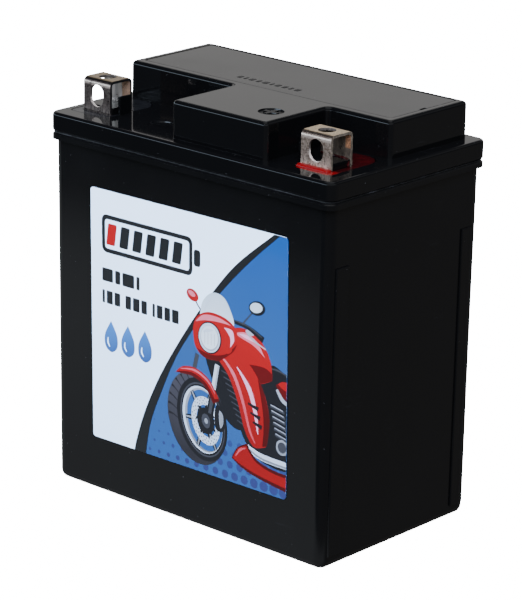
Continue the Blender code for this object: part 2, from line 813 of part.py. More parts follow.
def add_plate(form, x, thickness, side):
    corners = [(x - thickness / 2, y, z) for y, z in plate_outline(side)]
    face = form.faces.new([form.verts.new(corner) for corner in corners])
    grown = bmesh.ops.extrude_face_region(form, geom=[face])
    raised = [item for item in grown["geom"] if isinstance(item, bmesh.types.BMVert)]
    bmesh.ops.translate(form, verts=raised, vec=(thickness, 0, 0))


def make_plate_group(name, places, thickness, side):
    """Parallel plates with a cast strap across their lugs, centred on the cell's middle."""
    form = bmesh.new()
    for x in places:
        add_plate(form, x, thickness, side)
    plates = add_object(f"{name}_plates", mesh_from(form, f"{name}_plates"), CUTTERS)
    y = side * abs(LUG_Y)
    low = (-STRAP_HALF_LENGTH, y - STRAP_HALF_WIDTH, STRAP_LOW)
    high = (STRAP_HALF_LENGTH, y + STRAP_HALF_WIDTH, STRAP_HIGH)
    strap = boxes(f"{name}_strap", [(low, high)])
    unite(strap, plates)
    bpy.context.view_layer.update()
    shape = strap.evaluated_get(bpy.context.evaluated_depsgraph_get())
    mesh = bpy.data.meshes.new_from_object(shape)
    bpy.data.objects.remove(strap)
    bpy.data.objects.remove(plates)
    return mesh


def make_separator(cell, places):
    """One sheet folded to and fro between the plates, around the end of each in turn."""
    fold = PLATE_HALF_DEPTH + GAP + SEPARATOR / 2
    turn = FOLD_RADIUS
    path = [(places[0], -PLATE_HALF_DEPTH)]
    for number, (here, there) in enumerate(zip(places, places[1:])):
        end = 1 if number % 2 == 0 else -1
        path.append((here, end * (fold - turn)))
        path.append((here + turn, end * fold))
        path.append((there - turn, end * fold))
        path.append((there, end * (fold - turn)))
    last = 1 if len(places) % 2 else -1
    path.append((places[-1], last * PLATE_HALF_DEPTH))
    form = bmesh.new()
    line = [form.verts.new((x, y, SEPARATOR_LOW)) for x, y in path]
    edges = [form.edges.new(pair) for pair in zip(line, line[1:])]
    grown = bmesh.ops.extrude_edge_only(form, edges=edges)
    raised = [item for item in grown["geom"] if isinstance(item, bmesh.types.BMVert)]
    bmesh.ops.translate(form, verts=raised, vec=(0, 0, SEPARATOR_HIGH - SEPARATOR_LOW))
    name = f"separator_{cell}"
    sheet = add_object(name, mesh_from(form, name), PARTS, SEPARATOR_FELT)
    sheet.location.x = cell_x(cell)
    thicken = sheet.modifiers.new("thickness", "SOLIDIFY")
    thicken.thickness = SEPARATOR
    thicken.offset = 0.0
    thicken.use_even_offset = True


def make_cells():
    first_gap = NEGATIVE_PLATE / 2 + GAP + SEPARATOR / 2
    positive_place = first_gap + SEPARATOR / 2 + GAP + POSITIVE_PLATE / 2
    second_gap = positive_place + POSITIVE_PLATE / 2 + GAP + SEPARATOR / 2
    outer_place = second_gap + SEPARATOR / 2 + GAP + NEGATIVE_PLATE / 2
    negative_places = (-outer_place, 0.0, outer_place)
    positive_places = (-positive_place, positive_place)
    separator_places = (-second_gap, -first_gap, first_gap, second_gap)
    negative = make_plate_group("negative", negative_places, NEGATIVE_PLATE, -1)
    positive = make_plate_group("positive", positive_places, POSITIVE_PLATE, 1)
    for cell in range(1, CELLS + 1):
        turned = 0.0 if cell % 2 else math.pi
        for name, mesh, material in (
            ("negative_plate_group", negative, NEGATIVE_PASTE),
            ("positive_plate_group", positive, POSITIVE_PASTE),
        ):
            group = add_object(f"{name}_{cell}", mesh, PARTS, material)
            group.location.x = cell_x(cell)
            group.rotation_euler.z = turned
        make_separator(cell, separator_places)


def make_link(wall):
    """A lead link through a partition: a round neck with a cheek on each side."""
    x = partition_x(wall)
    y = link_y(wall)
    near = PARTITION / 2 + GAP
    far = near + LINK_CHEEK
    low_z = STRAP_HIGH + GAP
    high_z = 2 * LINK_Z - low_z
    cheeks = []
    for side in (-1, 1):
        left, right = sorted((side * near, side * far))
        low = (x + left, y - STRAP_HALF_WIDTH, low_z)
        cheeks.append((low, (x + right, y + STRAP_HALF_WIDTH, high_z)))
    name = f"intercell_link_{wall}"
    link = boxes(name, cheeks, PARTS, LEAD)
    neck = [((x - near - OVERLAP, y, LINK_Z), (x + near + OVERLAP, y, LINK_Z))]
    unite(link, cylinders(f"{name}_neck", LINK_RADIUS, neck, SMALL_ROUND))
    smooth(link)


# ---------------------------------------------------------------- label


def make_label():
    """A thin printed film on the front, which leans with the case's draft."""
    half_width = LABEL_WIDTH / 2
    half_height = LABEL_HEIGHT / 2
    form = bmesh.new()
    add_prism(form, rectangle(-half_width, half_width, -half_height, half_height), 0, LABEL_THICKNESS)
    bevel(form, is_upright, LABEL_CORNER, CORNER_STEPS)
    label = add_object("front_label", mesh_from(form, "front_label"), PARTS, LABEL_FILM)
    lean = math.atan2(BODY_DRAFT, FLANGE_LOW)
    face_y = -DEPTH / 2 + BODY_INSET + draft_at(LABEL_CENTRE_Z)
    stand = Matrix.Rotation(math.pi / 2 + lean, 4, "X")
    turn = Matrix.Rotation(LABEL_TURN, 4, "Z")
    place = Matrix.Translation((LABEL_CENTRE_X, face_y - LABEL_GAP, LABEL_CENTRE_Z))
    label.matrix_world = place @ stand @ turn


make_case()
make_lid()
make_cover_plate()
make_valve_caps()
make_terminal("negative_terminal", NEGATIVE_X)
make_terminal("positive_terminal", POSITIVE_X)
make_seal("negative_terminal_seal", NEGATIVE_X, BLACK_POTTING)
make_seal("positive_terminal_seal", POSITIVE_X, RED_POTTING)
make_post("negative_post", NEGATIVE_X)
make_post("positive_post", POSITIVE_X)
make_cells()
for partition in range(1, CELLS):
    make_link(partition)
make_label()
bpy.context.view_layer.update()
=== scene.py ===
import json
import math
import random

import bmesh
import bpy
from mathutils import Matrix, Vector
from mathutils.geometry import delaunay_2d_cdt

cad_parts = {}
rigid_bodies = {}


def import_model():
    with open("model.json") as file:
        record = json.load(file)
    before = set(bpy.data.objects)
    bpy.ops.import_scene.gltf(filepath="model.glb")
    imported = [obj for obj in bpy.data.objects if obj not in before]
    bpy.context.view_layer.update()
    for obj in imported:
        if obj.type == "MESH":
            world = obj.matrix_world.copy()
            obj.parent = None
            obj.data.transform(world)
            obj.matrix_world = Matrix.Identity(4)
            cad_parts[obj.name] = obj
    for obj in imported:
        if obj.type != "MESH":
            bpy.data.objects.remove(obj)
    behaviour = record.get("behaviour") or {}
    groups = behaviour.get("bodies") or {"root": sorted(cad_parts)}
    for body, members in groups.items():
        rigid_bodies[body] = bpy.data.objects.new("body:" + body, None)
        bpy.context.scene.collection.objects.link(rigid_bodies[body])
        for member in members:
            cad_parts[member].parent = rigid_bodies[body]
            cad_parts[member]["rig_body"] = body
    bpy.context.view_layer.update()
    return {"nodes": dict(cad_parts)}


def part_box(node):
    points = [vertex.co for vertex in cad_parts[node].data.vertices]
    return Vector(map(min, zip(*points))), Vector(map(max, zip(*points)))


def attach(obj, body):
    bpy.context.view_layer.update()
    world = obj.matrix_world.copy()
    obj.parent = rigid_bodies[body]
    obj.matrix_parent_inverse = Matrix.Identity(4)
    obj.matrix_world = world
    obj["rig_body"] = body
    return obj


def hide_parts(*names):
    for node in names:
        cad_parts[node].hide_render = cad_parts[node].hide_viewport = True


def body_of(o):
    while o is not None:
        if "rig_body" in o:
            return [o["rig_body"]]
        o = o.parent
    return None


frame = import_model()
NODES = frame["nodes"]
MM = 0.001

# Corners of the CAD boxes that the looks are placed by
case_low, case_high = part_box("case")
lid_low, lid_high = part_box("lid")
plus_low, plus_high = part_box("positive_terminal")
minus_low, minus_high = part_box("negative_terminal")
seal_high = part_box("positive_terminal_seal")[1]
cover_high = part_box("vent_cover_plate")[1]
STRIP_FRONT, STRIP_REAR, STRIP_TOP = plus_low.y, plus_high.y, plus_high.z

# Thin marks on the black mouldings
SCRATCH = (0.03, 0.031, 0.032)
DUST = (0.075, 0.075, 0.072)
WORN = (0.02, 0.0205, 0.021)

# Meshes: what counts as one point, as flat, and as an edge to round
SAME_POINT = 1e-6
FLAT = math.radians(0.5)
EDGE = math.radians(35)


# -------- node trees

class Shade:
    """A node tree, placed by coordinates in metres in a material or a direction in a world."""

    def __init__(self, name, world=None):
        self.material = world or bpy.data.materials.new(name)
        self.material.use_nodes = True
        self.tree = self.material.node_tree
        self.tree.nodes.clear()
        self.place = self.put("ShaderNodeTexCoord", out="Generated" if world else "Object")

    def put(self, kind, inputs=None, out=0, **settings):
        """Adds a node with its inputs, linked or constant, and gives one of its outputs."""
        node = self.tree.nodes.new(kind)
        for key, value in settings.items():
            setattr(node, key, value)
        for key, value in (inputs or {}).items():
            self.feed(node.inputs[key], value)
        return node.outputs[out] if len(node.outputs) else None

    def feed(self, socket, value):
        if isinstance(value, bpy.types.NodeSocket):
            self.tree.links.new(value, socket)
        elif socket.type == "RGBA":
            socket.default_value = (*value[:3], 1.0)
        else:
            socket.default_value = value

    def turned(self, scale=(1, 1, 1), turn=(0, 0, 0), shift=(0, 0, 0)):
        angles = [math.radians(a) for a in turn]
        return self.put("ShaderNodeMapping", {
            "Vector": self.place, "Scale": scale, "Rotation": angles, "Location": shift})

    def noise(self, scale, detail=2.0, rough=0.5, distort=0.0, where=None):
        return self.put("ShaderNodeTexNoise", {
            "Vector": where or self.place, "Scale": scale, "Detail": detail,
            "Roughness": rough, "Distortion": distort})

    def sum(self, a, b, kind="ADD"):
        return self.put("ShaderNodeMath", {0: a, 1: b}, operation=kind)

    def centred(self, noise):
        return self.sum(noise, 0.5, "SUBTRACT")

    def times(self, a, b):
        return self.sum(a, b, "MULTIPLY")

    def band(self, value, low, high, to_low=0.0, to_high=1.0, kind="SMOOTHSTEP"):
        return self.put("ShaderNodeMapRange", {
            "Value": value, "From Min": low, "From Max": high,
            "To Min": to_low, "To Max": to_high}, interpolation_type=kind)

    def window(self, value, rise, full, fall, gone):
        """1 between two values of something, with soft slopes on both sides."""
        return self.times(self.band(value, rise, full), self.band(value, fall, gone, 1.0, 0.0))

    def blend(self, share, a, b):
        node = self.tree.nodes.new("ShaderNodeMix")
        node.data_type = "RGBA"
        named = {s.identifier: s for s in node.inputs}
        self.feed(named["Factor_Float"], share)
        self.feed(named["A_Color"], a)
        self.feed(named["B_Color"], b)
        return next(s for s in node.outputs if s.identifier == "Result_Color")

    def axis(self, letter):
        return self.put("ShaderNodeSeparateXYZ", {0: self.place}, out=letter)

    def specks(self, size, radius, share):
        """Small round spots of a radius in metres, in cells of a size, in a share of the cells."""
        where = {"Vector": self.place, "Scale": 1 / size}
        far = self.put("ShaderNodeTexVoronoi", where, out="Distance")
        pick = self.put("ShaderNodeTexVoronoi", where, out="Color")
        pick = self.put("ShaderNodeSeparateColor", {0: pick}, out=0)
        near = self.band(far, 0.4 * radius / size, radius / size, 1.0, 0.0)
        return self.times(near, self.band(pick, 1 - share, 1 - share + 0.01))

    def scratches(self, spread, turn, rare, width=0.006):
        """Long thin lines: one level of a noise that is drawn out along one direction."""
        lines = self.noise(1.0, 1.0, 0.4, where=self.turned(spread, turn))
        off = self.sum(self.centred(lines), 0.0, "ABSOLUTE")
        thin = self.band(off, 0.0, width, 1.0, 0.0)
        where = self.noise(55.0, 1.0, where=self.turned(shift=(0.3, 0.7, 0.1)))
        return self.times(thin, self.band(where, rare, rare + 0.06))

    def bump(self, height, depth, strength=1.0, on=None):
        inputs = {"Height": height, "Distance": depth, "Strength": strength}
        if on:
            inputs["Normal"] = on
        return self.put("ShaderNodeBump", inputs)

    def finish(self, colour, rough, normal=None, **constants):
        inputs = {"Base Color": colour, "Roughness": rough}
        if normal is not None:
            inputs["Normal"] = normal
        inputs.update({key.replace("_", " "): value for key, value in constants.items()})
        shader = self.put("ShaderNodeBsdfPrincipled", inputs)
        self.put("ShaderNodeOutputMaterial", {"Surface": shader})
        return self.material


def scaled(colour, factor):
    return [c * factor for c in colour]


def glossy_plastic(name, tone, shine, worn=0.0, haze_share=0.05):
    """Black moulded plastic: polished, with faint handling marks, hair scratches and dust.

    shine is its roughness, which haze_share adds to in patches. worn is how rubbed it is.
    """
    s = Shade(name)
    wide = s.noise(34.0, 3.0, 0.55)
    fine = s.noise(1100.0, 2.0, 0.5)
    broad = s.noise(16.0, 1.0, 0.4)
    hair_a = s.scratches((9, 700, 700), (8, 17, 24), 0.62, 0.004)
    hair_b = s.scratches((760, 8, 620), (31, -12, -9), 0.64, 0.004)
    hair = s.sum(hair_a, hair_b, "MAXIMUM")
    dust = s.sum(s.specks(4.5 * MM, 0.22 * MM, 0.35), s.specks(2.1 * MM, 0.12 * MM, 0.3), "MAXIMUM")
    colour = s.blend(wide, scaled(tone, 0.82), scaled(tone, 1.22))
    colour = s.blend(s.times(hair, 0.12), colour, SCRATCH)
    colour = s.blend(s.times(dust, 0.45), colour, DUST)
    if worn:
        patch = s.band(s.noise(150.0, 4.0, 0.65), 0.5, 0.72)
        colour = s.blend(s.times(patch, worn), colour, WORN)
    rough = s.band(wide, 0.3, 0.75, shine, shine + haze_share, "LINEAR")
    rough = s.sum(rough, s.times(hair, 0.06))
    rough = s.sum(rough, s.times(dust, 0.3))
    if worn:
        rough = s.sum(rough, s.times(patch, 0.2 * worn + 0.05))
    waves = s.bump(broad, 0.22 * MM, 0.5)
    grain = s.bump(s.sum(fine, s.times(hair, -0.5)), 0.0022 * MM, on=waves)
    return s.finish(colour, rough, grain, IOR=1.52)


def plated_metal(name, light, dark, stain, top, bend, inner, tan, spot):
    """Dulled tin plate on a folded strip: mottled, stained at the foot, painted highlights on its
    bends.

    top tints the strip's top, bend paints a highlight on its upper bends, and inner paints the
    light and shade on the inside of its rear leg. tan tints the inside's outer edge from x =
    spot[0] on, round a height of spot[1].
    """
    s = Shade(name)
    x, y, z = s.axis("X"), s.axis("Y"), s.axis("Z")

    def below(depth):
        return STRIP_TOP - depth * MM

    def ahead(depth):
        return STRIP_REAR - depth * MM

    mottle = s.noise(1500.0, 4.0, 0.75, 0.4)
    cloud = s.noise(420.0, 3.0, 0.6, 0.3)
    runs = s.noise(1.0, 3.0, 0.6, where=s.turned((1500, 1500, 240), shift=(1.1, 0.4, 2.3)))
    pits = s.specks(0.9 * MM, 0.16 * MM, 0.45)
    # Mottled plate with stained runs, and frost at the foot
    colour = s.blend(s.band(mottle, 0.36, 0.64), dark, light)
    foot = s.band(z, below(8.6), below(5.6), 1.0, 0.0)
    frost = s.times(foot, s.band(runs, 0.46, 0.6))
    colour = s.blend(s.times(s.band(runs, 0.54, 0.72), 0.55), colour, stain)
    colour = s.blend(s.times(s.band(cloud, 0.5, 0.7), 0.35), colour, scaled(dark, 0.55))
    colour = s.blend(s.times(frost, 0.6), colour, scaled(light, 1.45))
    # The top, a painted highlight on the bend below it and a painted dark reflection between them
    tint = s.blend(s.band(mottle, 0.3, 0.7), scaled(top, 0.7), top)
    colour = s.blend(s.times(s.band(z, below(0.3), below(0.1)), 0.75), colour, tint)
    # The bright band on the bend is a painted highlight.
    rim = s.window(z, below(2.4), below(1.7), below(1.1), below(0.8))
    rim = s.times(rim, s.band(cloud, 0.3, 0.5, 0.35, 1.0))
    colour = s.blend(rim, colour, bend)
    # The near-black band between the top and the bend is a painted dark reflection.
    soot = s.window(z, below(0.8), below(0.5), below(0.18), below(0.08))
    colour = s.blend(s.times(soot, 0.88), colour, scaled(dark, 0.12))
    # The inside of the rear leg, its light and shade painted into its tint, with a tan patch at its
    # outer edge
    inside = s.window(y, ahead(1.1), ahead(1.0), ahead(0.5), ahead(0.4))
    inside = s.times(inside, s.band(z, below(1.6), below(1.0), 1.0, 0.0))
    streak = s.band(s.noise(1.0, 2.0, 0.5, where=s.turned((900, 900, 90))), 0.35, 0.65)
    tint = s.blend(streak, scaled(inner, 0.55), inner)
    colour = s.blend(s.times(inside, 0.85), colour, tint)
    edge = s.times(inside, s.band(x, spot[0] - 0.2 * MM, spot[0] + 0.2 * MM))
    edge = s.times(edge, s.band(z, spot[1] - spot[2], spot[1] - 0.6 * spot[2]))
    colour = s.blend(s.times(edge, 0.8), colour, tan)
    colour = s.blend(s.times(pits, 0.55), colour, scaled(dark, 0.3))
    height = s.sum(s.times(mottle, 0.8), s.times(pits, -0.8))
    rough = s.band(cloud, 0.35, 0.7, 0.24, 0.4, "LINEAR")
    return s.finish(colour, rough, s.bump(height, 0.03 * MM, 0.8), Metallic=0.92)


def cut_metal(name, tone, painted_shade_from=None):
    """Sheared strip edge, streaked along the cut. A hole's wall is black above a height: painted
    shade.
    """
    s = Shade(name)
    lines = s.noise(1.0, 2.0, 0.6, where=s.turned((300, 2600, 260)))
    spots = s.noise(900.0, 2.0)
    colour = s.blend(s.band(lines, 0.4, 0.62), scaled(tone, 0.45), tone)
    colour = s.blend(s.times(s.band(spots, 0.58, 0.7), 0.5), colour, scaled(tone, 1.9))
    if painted_shade_from:
        # Painted shade inside the hole: its wall goes black above the height.
        above = s.band(s.axis("Z"), painted_shade_from - 0.8 * MM, painted_shade_from + 0.6 * MM)
        colour = s.blend(s.times(above, 0.9), colour, scaled(tone, 0.05))
    return s.finish(colour, s.band(spots, 0.3, 0.7, 0.35, 0.6, "LINEAR"),
                    s.bump(lines, 0.05 * MM, 0.8), Metallic=0.55)


# -------- meshes

def link(name, mesh, materials, body="battery", replaces=()):
    """Adds a mesh to the scene as a piece that rides on a body."""
    piece = bpy.data.objects.new(name, mesh)
    bpy.context.scene.collection.objects.link(piece)
    for material in materials:
        mesh.materials.append(material)
    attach(piece, body)
    if replaces:
        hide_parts(*replaces)
    return piece


def whole_faces(node):
    """The CAD node's mesh with the triangles of each flat face joined again."""
    bm = bmesh.new()
    bm.from_mesh(NODES[node].data)
    bmesh.ops.remove_doubles(bm, verts=bm.verts, dist=SAME_POINT)
    bmesh.ops.dissolve_limit(bm, angle_limit=FLAT, verts=bm.verts, edges=bm.edges)
    bm.normal_update()
    return bm


def finer(node, name, materials, width=0.15, choose=None, edge=True, segments=2):
    """The CAD node's own shape again as one smooth-shaded mesh with fine rounded edges.

    choose gives a face's material, and with edge the rounded edges get the last material.
    """
    bm = whole_faces(node)
    for face in bm.faces:
        face.material_index = choose(face) if choose else 0
    mesh = bpy.data.meshes.new(name)
    bm.to_mesh(mesh)
    bm.free()
    piece = link(name, mesh, materials, body_of(NODES[node])[0], (node,))
    mesh.shade_smooth()
    bevel = piece.modifiers.new("rounded edges", "BEVEL")
    bevel.width = width * MM
    bevel.segments = segments
    bevel.limit_method = "ANGLE"
    bevel.angle_limit = EDGE
    bevel.miter_outer = "MITER_ARC"
    bevel.use_clamp_overlap = True
    if edge:
        bevel.material = len(materials) - 1
    even = piece.modifiers.new("even shading", "WEIGHTED_NORMAL")
    even.keep_sharp = True
    return piece


TAPER = 0.35


def swept(path, radius, sides, closed, wobble, seed, wider=1.0):
    """A thin bead of slightly uneven thickness along a path, which can be wider than high."""
    draw = random.Random(seed)
    bm = bmesh.new()
    rings = []
    count = len(path)
    for i, point in enumerate(path):
        before = path[(i - 1) % count] if closed or i else point
        after = path[(i + 1) % count] if closed or i < count - 1 else point
        along = (after - before).normalized()
        side = along.cross(Vector((0, 0, 1))).normalized()
        up = side.cross(along)
        r = radius * (1 + wobble * (draw.random() - 0.5))
        if not closed and i in (0, count - 1):
            r *= TAPER
        rings.append([
            bm.verts.new(point + (side * wider * math.cos(t) + up * math.sin(t)) * r)
            for t in (math.tau * k / sides for k in range(sides))])
    for i in range(count if closed else count - 1):
        a, b = rings[i], rings[(i + 1) % count]
        for k in range(sides):
            bm.faces.new((a[k], a[(k + 1) % sides], b[(k + 1) % sides], b[k]))
    if not closed:
        bm.faces.new(rings[0][::-1])
        bm.faces.new(rings[-1])
    bmesh.ops.recalc_face_normals(bm, faces=bm.faces)
    return bm


def to_mesh(bm, name, smooth=True):
    mesh = bpy.data.meshes.new(name)
    bm.to_mesh(mesh)
    bm.free()
    if smooth:
        mesh.shade_smooth()
    return mesh


# -------- printed artwork

class Plane:
    """The front of a flat CAD node: its middle, and its right, up and outward directions."""

    def __init__(self, node):
        bm = whole_faces(node)
        front = min(bm.faces, key=lambda f: f.normal.y * f.calc_area())
        self.out = front.normal.normalized()
        flat = [e for e in front.edges if abs((e.verts[0].co - e.verts[1].co).x) > 20 * MM]
        low = min(flat, key=lambda e: e.verts[0].co.z + e.verts[1].co.z)
        ends = sorted((v.co.copy() for v in low.verts), key=lambda p: p.x)
        self.right = (ends[1] - ends[0]).normalized()
        self.up = self.out.cross(self.right).normalized()
        if self.up.z < 0:
            self.up = -self.up
        points = [v.co.copy() for v in front.verts]
        us = [p.dot(self.right) for p in points]
        vs = [p.dot(self.up) for p in points]
        self.width = (max(us) - min(us)) / MM
        self.height = (max(vs) - min(vs)) / MM
        self.middle = (
            self.right * (max(us) + min(us)) / 2 + self.up * (max(vs) + min(vs)) / 2
            + self.out * points[0].dot(self.out))
        bm.free()

    def at(self, u, v, lift):
        """A point u mm right and v mm up of the middle, lifted by some mm."""
        return self.middle + (self.right * u + self.up * v + self.out * lift) * MM


def curve(points, steps=7, closed=True):
    """A smooth line through (u, v) points. One given as (u, v, 0) is a sharp corner."""
    count = len(points)
    tangents = []
    for i, p in enumerate(points):
        if len(p) == 3:
            tangents.append((0.0, 0.0))
            continue
        a = points[(i - 1) % count] if closed or i else p
        b = points[(i + 1) % count] if closed or i < count - 1 else p
        tangents.append(((b[0] - a[0]) / 2, (b[1] - a[1]) / 2))
    line = []
    for i in range(count if closed else count - 1):
        p, q = points[i], points[(i + 1) % count]
        s, e = tangents[i], tangents[(i + 1) % count]
        straight = len(p) == 3 and len(q) == 3
        for k in range(1 if straight else steps):
            t = k / steps
            h = (2 * t ** 3 - 3 * t ** 2 + 1, t ** 3 - 2 * t ** 2 + t,
                 3 * t ** 2 - 2 * t ** 3, t ** 3 - t ** 2)
            line.append(tuple(
                h[0] * p[j] + h[1] * s[j] + h[2] * q[j] + h[3] * e[j] for j in (0, 1)))
    if not closed:
        line.append(tuple(points[-1][:2]))
    return line


def on_oval(u, v, long, short, turn, at):
    """The point of a turned ellipse at an angle in degrees from its long axis."""
    c, s = math.cos(math.radians(turn)), math.sin(math.radians(turn))
    a, b = long * math.cos(math.radians(at)), short * math.sin(math.radians(at))
    return u + a * c - b * s, v + a * s + b * c


def oval(u, v, long, short, turn, steps=72):
    """Points round a turned ellipse."""
    return [on_oval(u, v, long, short, turn, 360 * k / steps) for k in range(steps)]


def stroke(points, *widths, steps=6):
    """The outline of a line through points whose width runs through the given widths."""
    line = curve(points, steps, closed=False)
    left, right = [], []
    last = len(line) - 1
    for i, (u, v) in enumerate(line):
        a, b = line[max(i - 1, 0)], line[min(i + 1, last)]
        du, dv = b[0] - a[0], b[1] - a[1]
        size = math.hypot(du, dv) or 1.0
        at = i / last * (len(widths) - 1)
        k = min(int(at), len(widths) - 2) if len(widths) > 1 else 0
        w = widths[k] if len(widths) == 1 else widths[k] + (widths[k + 1] - widths[k]) * (at - k)
        left.append((u - dv / size * w / 2, v + du / size * w / 2))
        right.append((u + dv / size * w / 2, v - du / size * w / 2))
    return left + right[::-1]


def rounded(u0, v0, u1, v1, radius):
    """Points round a rectangle with rounded corners."""
    line = []
    for cu, cv, start in ((u1 - radius, v1 - radius, 0), (u0 + radius, v1 - radius, 90),
                          (u0 + radius, v0 + radius, 180), (u1 - radius, v0 + radius, 270)):
        for k in range(5):
            t = math.radians(start + 22.5 * k)
            line.append((cu + radius * math.cos(t), cv + radius * math.sin(t)))
    return line


def bar(u0, v0, u1, v1, radius=0.4, lean=0.0):
    """A rounded upright or leaning bar."""
    return [(u + lean * (v - v0), v) for u, v in rounded(u0, v0, u1, v1, radius)]


def clipped(points, half_u, half_v, radius):
    """The part of a polygon that lies inside a rounded rectangle about the middle."""
    edge = rounded(-half_u, -half_v, half_u, half_v, radius)
    for i, a in enumerate(edge):
        b = edge[(i + 1) % len(edge)]
        kept = []
        for j, p in enumerate(points):
            q = points[(j + 1) % len(points)]
            side_p, side_q = (
                (b[0] - a[0]) * (r[1] - a[1]) - (b[1] - a[1]) * (r[0] - a[0]) for r in (p, q))
            if side_p >= 0:
                kept.append(p)
            if (side_p >= 0) != (side_q >= 0):
                t = side_p / (side_p - side_q)
                kept.append((p[0] + (q[0] - p[0]) * t, p[1] + (q[1] - p[1]) * t))
        points = kept
        if len(points) < 3:
            return []
    return points


class Print:
    """Coloured shapes on one plane, in mm from its middle. A later shape covers an earlier one."""

    CORNER = 1.1
    TOO_SMALL = 1e-6

    def __init__(self, plane, inset):
        self.plane = plane
        self.half = (plane.width / 2 - inset, plane.height / 2 - inset)
        self.shapes = []

    def add(self, colour, points):
        points = clipped([tuple(p[:2]) for p in points], *self.half, self.CORNER)
        area = sum(p[0] * q[1] - q[0] * p[1] for p, q in zip(points, points[1:] + points[:1]))
        if len(points) >= 3 and abs(area) > self.TOO_SMALL:
            self.shapes.append((colour, points if area > 0 else points[::-1]))

    def patch(self, colour, points):
        self.add(colour, curve(points))

    def line(self, colour, points, *widths):
        self.add(colour, stroke(points, *widths))

    def oval(self, colour, *sizes):
        self.add(colour, oval(*sizes))

    def ring(self, colour, outer, inner):
        """A ring, as a closed band between two lines with the same number of points."""
        count = len(outer)
        for i in range(0, count, 4):
            k = [(i + j) % count for j in range(5)]
            self.add(colour, [outer[j] for j in k] + [inner[j] for j in reversed(k)])

    def mesh(self, name, colours, lift):
        """One flat mesh of all shapes without overlaps, and its materials."""
        points, faces = [], []
        for _, shape in self.shapes:
            faces.append(list(range(len(points), len(points) + len(shape))))
            points += [Vector(p) for p in shape]
        verts, _, triangles, _, _, owners = delaunay_2d_cdt(points, [], faces, 1, 1e-5, True)
        names = sorted({c for c, _ in self.shapes})
        bm = bmesh.new()
        corners = [bm.verts.new(self.plane.at(p.x, p.y, lift)) for p in verts]
        for triangle, owner in zip(triangles, owners):
            if not owner:
                continue
            try:
                face = bm.faces.new([corners[i] for i in triangle])
            except ValueError:
                continue
            face.material_index = names.index(self.shapes[max(owner)][0])
            face.normal_update()
            if face.normal.dot(self.plane.out) < 0:
                face.normal_flip()
        loose = [v for v in bm.verts if not v.link_faces]
        bmesh.ops.delete(bm, geom=loose, context="VERTS")
        return to_mesh(bm, name, smooth=False), [colours[n] for n in names]


# -------- materials

BLACK = (0.0011, 0.0011, 0.0011)
RUBBED = (0.0017, 0.0017, 0.0016)
case_plastic = glossy_plastic("case_plastic", BLACK, 0.17)
case_edge = glossy_plastic("case_worn_edge", RUBBED, 0.24, worn=0.55)
lid_plastic = glossy_plastic("lid_plastic", BLACK, 0.045, haze_share=0.035)
lid_edge = glossy_plastic("lid_worn_edge", RUBBED, 0.16, worn=0.4)
cover_plastic = glossy_plastic("cover_plastic", (0.0015, 0.0015, 0.00145), 0.15, haze_share=0.08)
cover_edge = glossy_plastic("cover_worn_edge", RUBBED, 0.2, worn=0.4)
sign_plastic = glossy_plastic("sign_plastic", BLACK, 0.42, haze_share=0.1)

plus_metal = plated_metal(
    "tin_plate_light", (0.68, 0.54, 0.41), (0.21, 0.145, 0.1), (0.17, 0.085, 0.04),
    # Painted light: the bend tint is a painted highlight, the dark inner tint painted shade.
    top=(0.68, 0.5, 0.27), bend=(0.8, 0.64, 0.5), inner=(0.17, 0.135, 0.098),
    tan=(0.75, 0.36, 0.18), spot=(plus_high.x - 2.0 * MM, STRIP_TOP - 4.2 * MM, 1.2 * MM))
# The minus strip's plate and sheared edge are darker copies of the plus strip's: painted shade.
minus_metal = plated_metal(
    "tin_plate_painted_shade", (0.225, 0.187, 0.155), (0.062, 0.049, 0.042), (0.085, 0.052, 0.035),
    # Painted light: the bright bend tint is a painted highlight, the bright inner tint a painted
    # sheen.
    top=(0.4, 0.285, 0.145), bend=(0.74, 0.61, 0.49), inner=(0.98, 0.87, 0.74),
    tan=(0.62, 0.36, 0.2), spot=(minus_high.x - 3.4 * MM, STRIP_TOP - 3.0 * MM, 6.0 * MM))
plus_cut = cut_metal("sheared_edge_light", (0.16, 0.13, 0.09))
minus_cut = cut_metal("sheared_edge_dark", (0.012, 0.011, 0.01))
plus_rim = cut_metal("hole_wall_light", (0.62, 0.53, 0.42), STRIP_TOP - 5.4 * MM)
minus_rim = cut_metal("hole_wall_dark", (0.5, 0.43, 0.34), STRIP_TOP - 5.6 * MM)


def resin(name, near, rear_tone, front, back):
    """Cast resin that fades from front to back, both in mm behind the strips' front."""
    s = Shade(name)
    # The colour gets darker towards the back.
    depth = s.band(s.axis("Y"), STRIP_FRONT + front * MM, STRIP_FRONT + back * MM)
    flow = s.noise(420.0, 2.0, 0.5, 0.4)
    colour = s.blend(s.sum(depth, s.times(s.centred(flow), 0.5)), near, rear_tone)
    dust = s.specks(1.6 * MM, 0.12 * MM, 0.4)
    colour = s.blend(s.times(dust, 0.3), colour, (0.05, 0.03, 0.028))
    rough = s.band(flow, 0.3, 0.7, 0.12, 0.22, "LINEAR")
    return s.finish(colour, rough, s.bump(s.noise(260.0, 2.0), 0.12 * MM, 0.7), IOR=1.5)


red_resin = resin("red_resin", (0.07, 0.0011, 0.0015), (0.009, 0.0006, 0.0008), -0.75, 2.05)
black_resin = resin("black_resin", (0.0035, 0.0035, 0.0038), (0.0025, 0.0025, 0.0027), -1.95, 16.05)


def lead_like(name, light, dark, rough_low, rough_high, metal):
    """Lead or its pasted oxide: grainy, with dark clouds."""
    s = Shade(name)
    cloud = s.noise(500.0, 4.0, 0.65, 0.3)
    wide = s.noise(90.0, 2.0)
    colour = s.blend(s.band(cloud, 0.3, 0.7), dark, light)
    colour = s.blend(s.times(s.band(wide, 0.45, 0.7), 0.4), colour, scaled(dark, 0.6))
    return s.finish(colour, s.band(cloud, 0.3, 0.7, rough_low, rough_high, "LINEAR"),
                    s.bump(cloud, 0.12 * MM, 0.8), Metallic=metal)


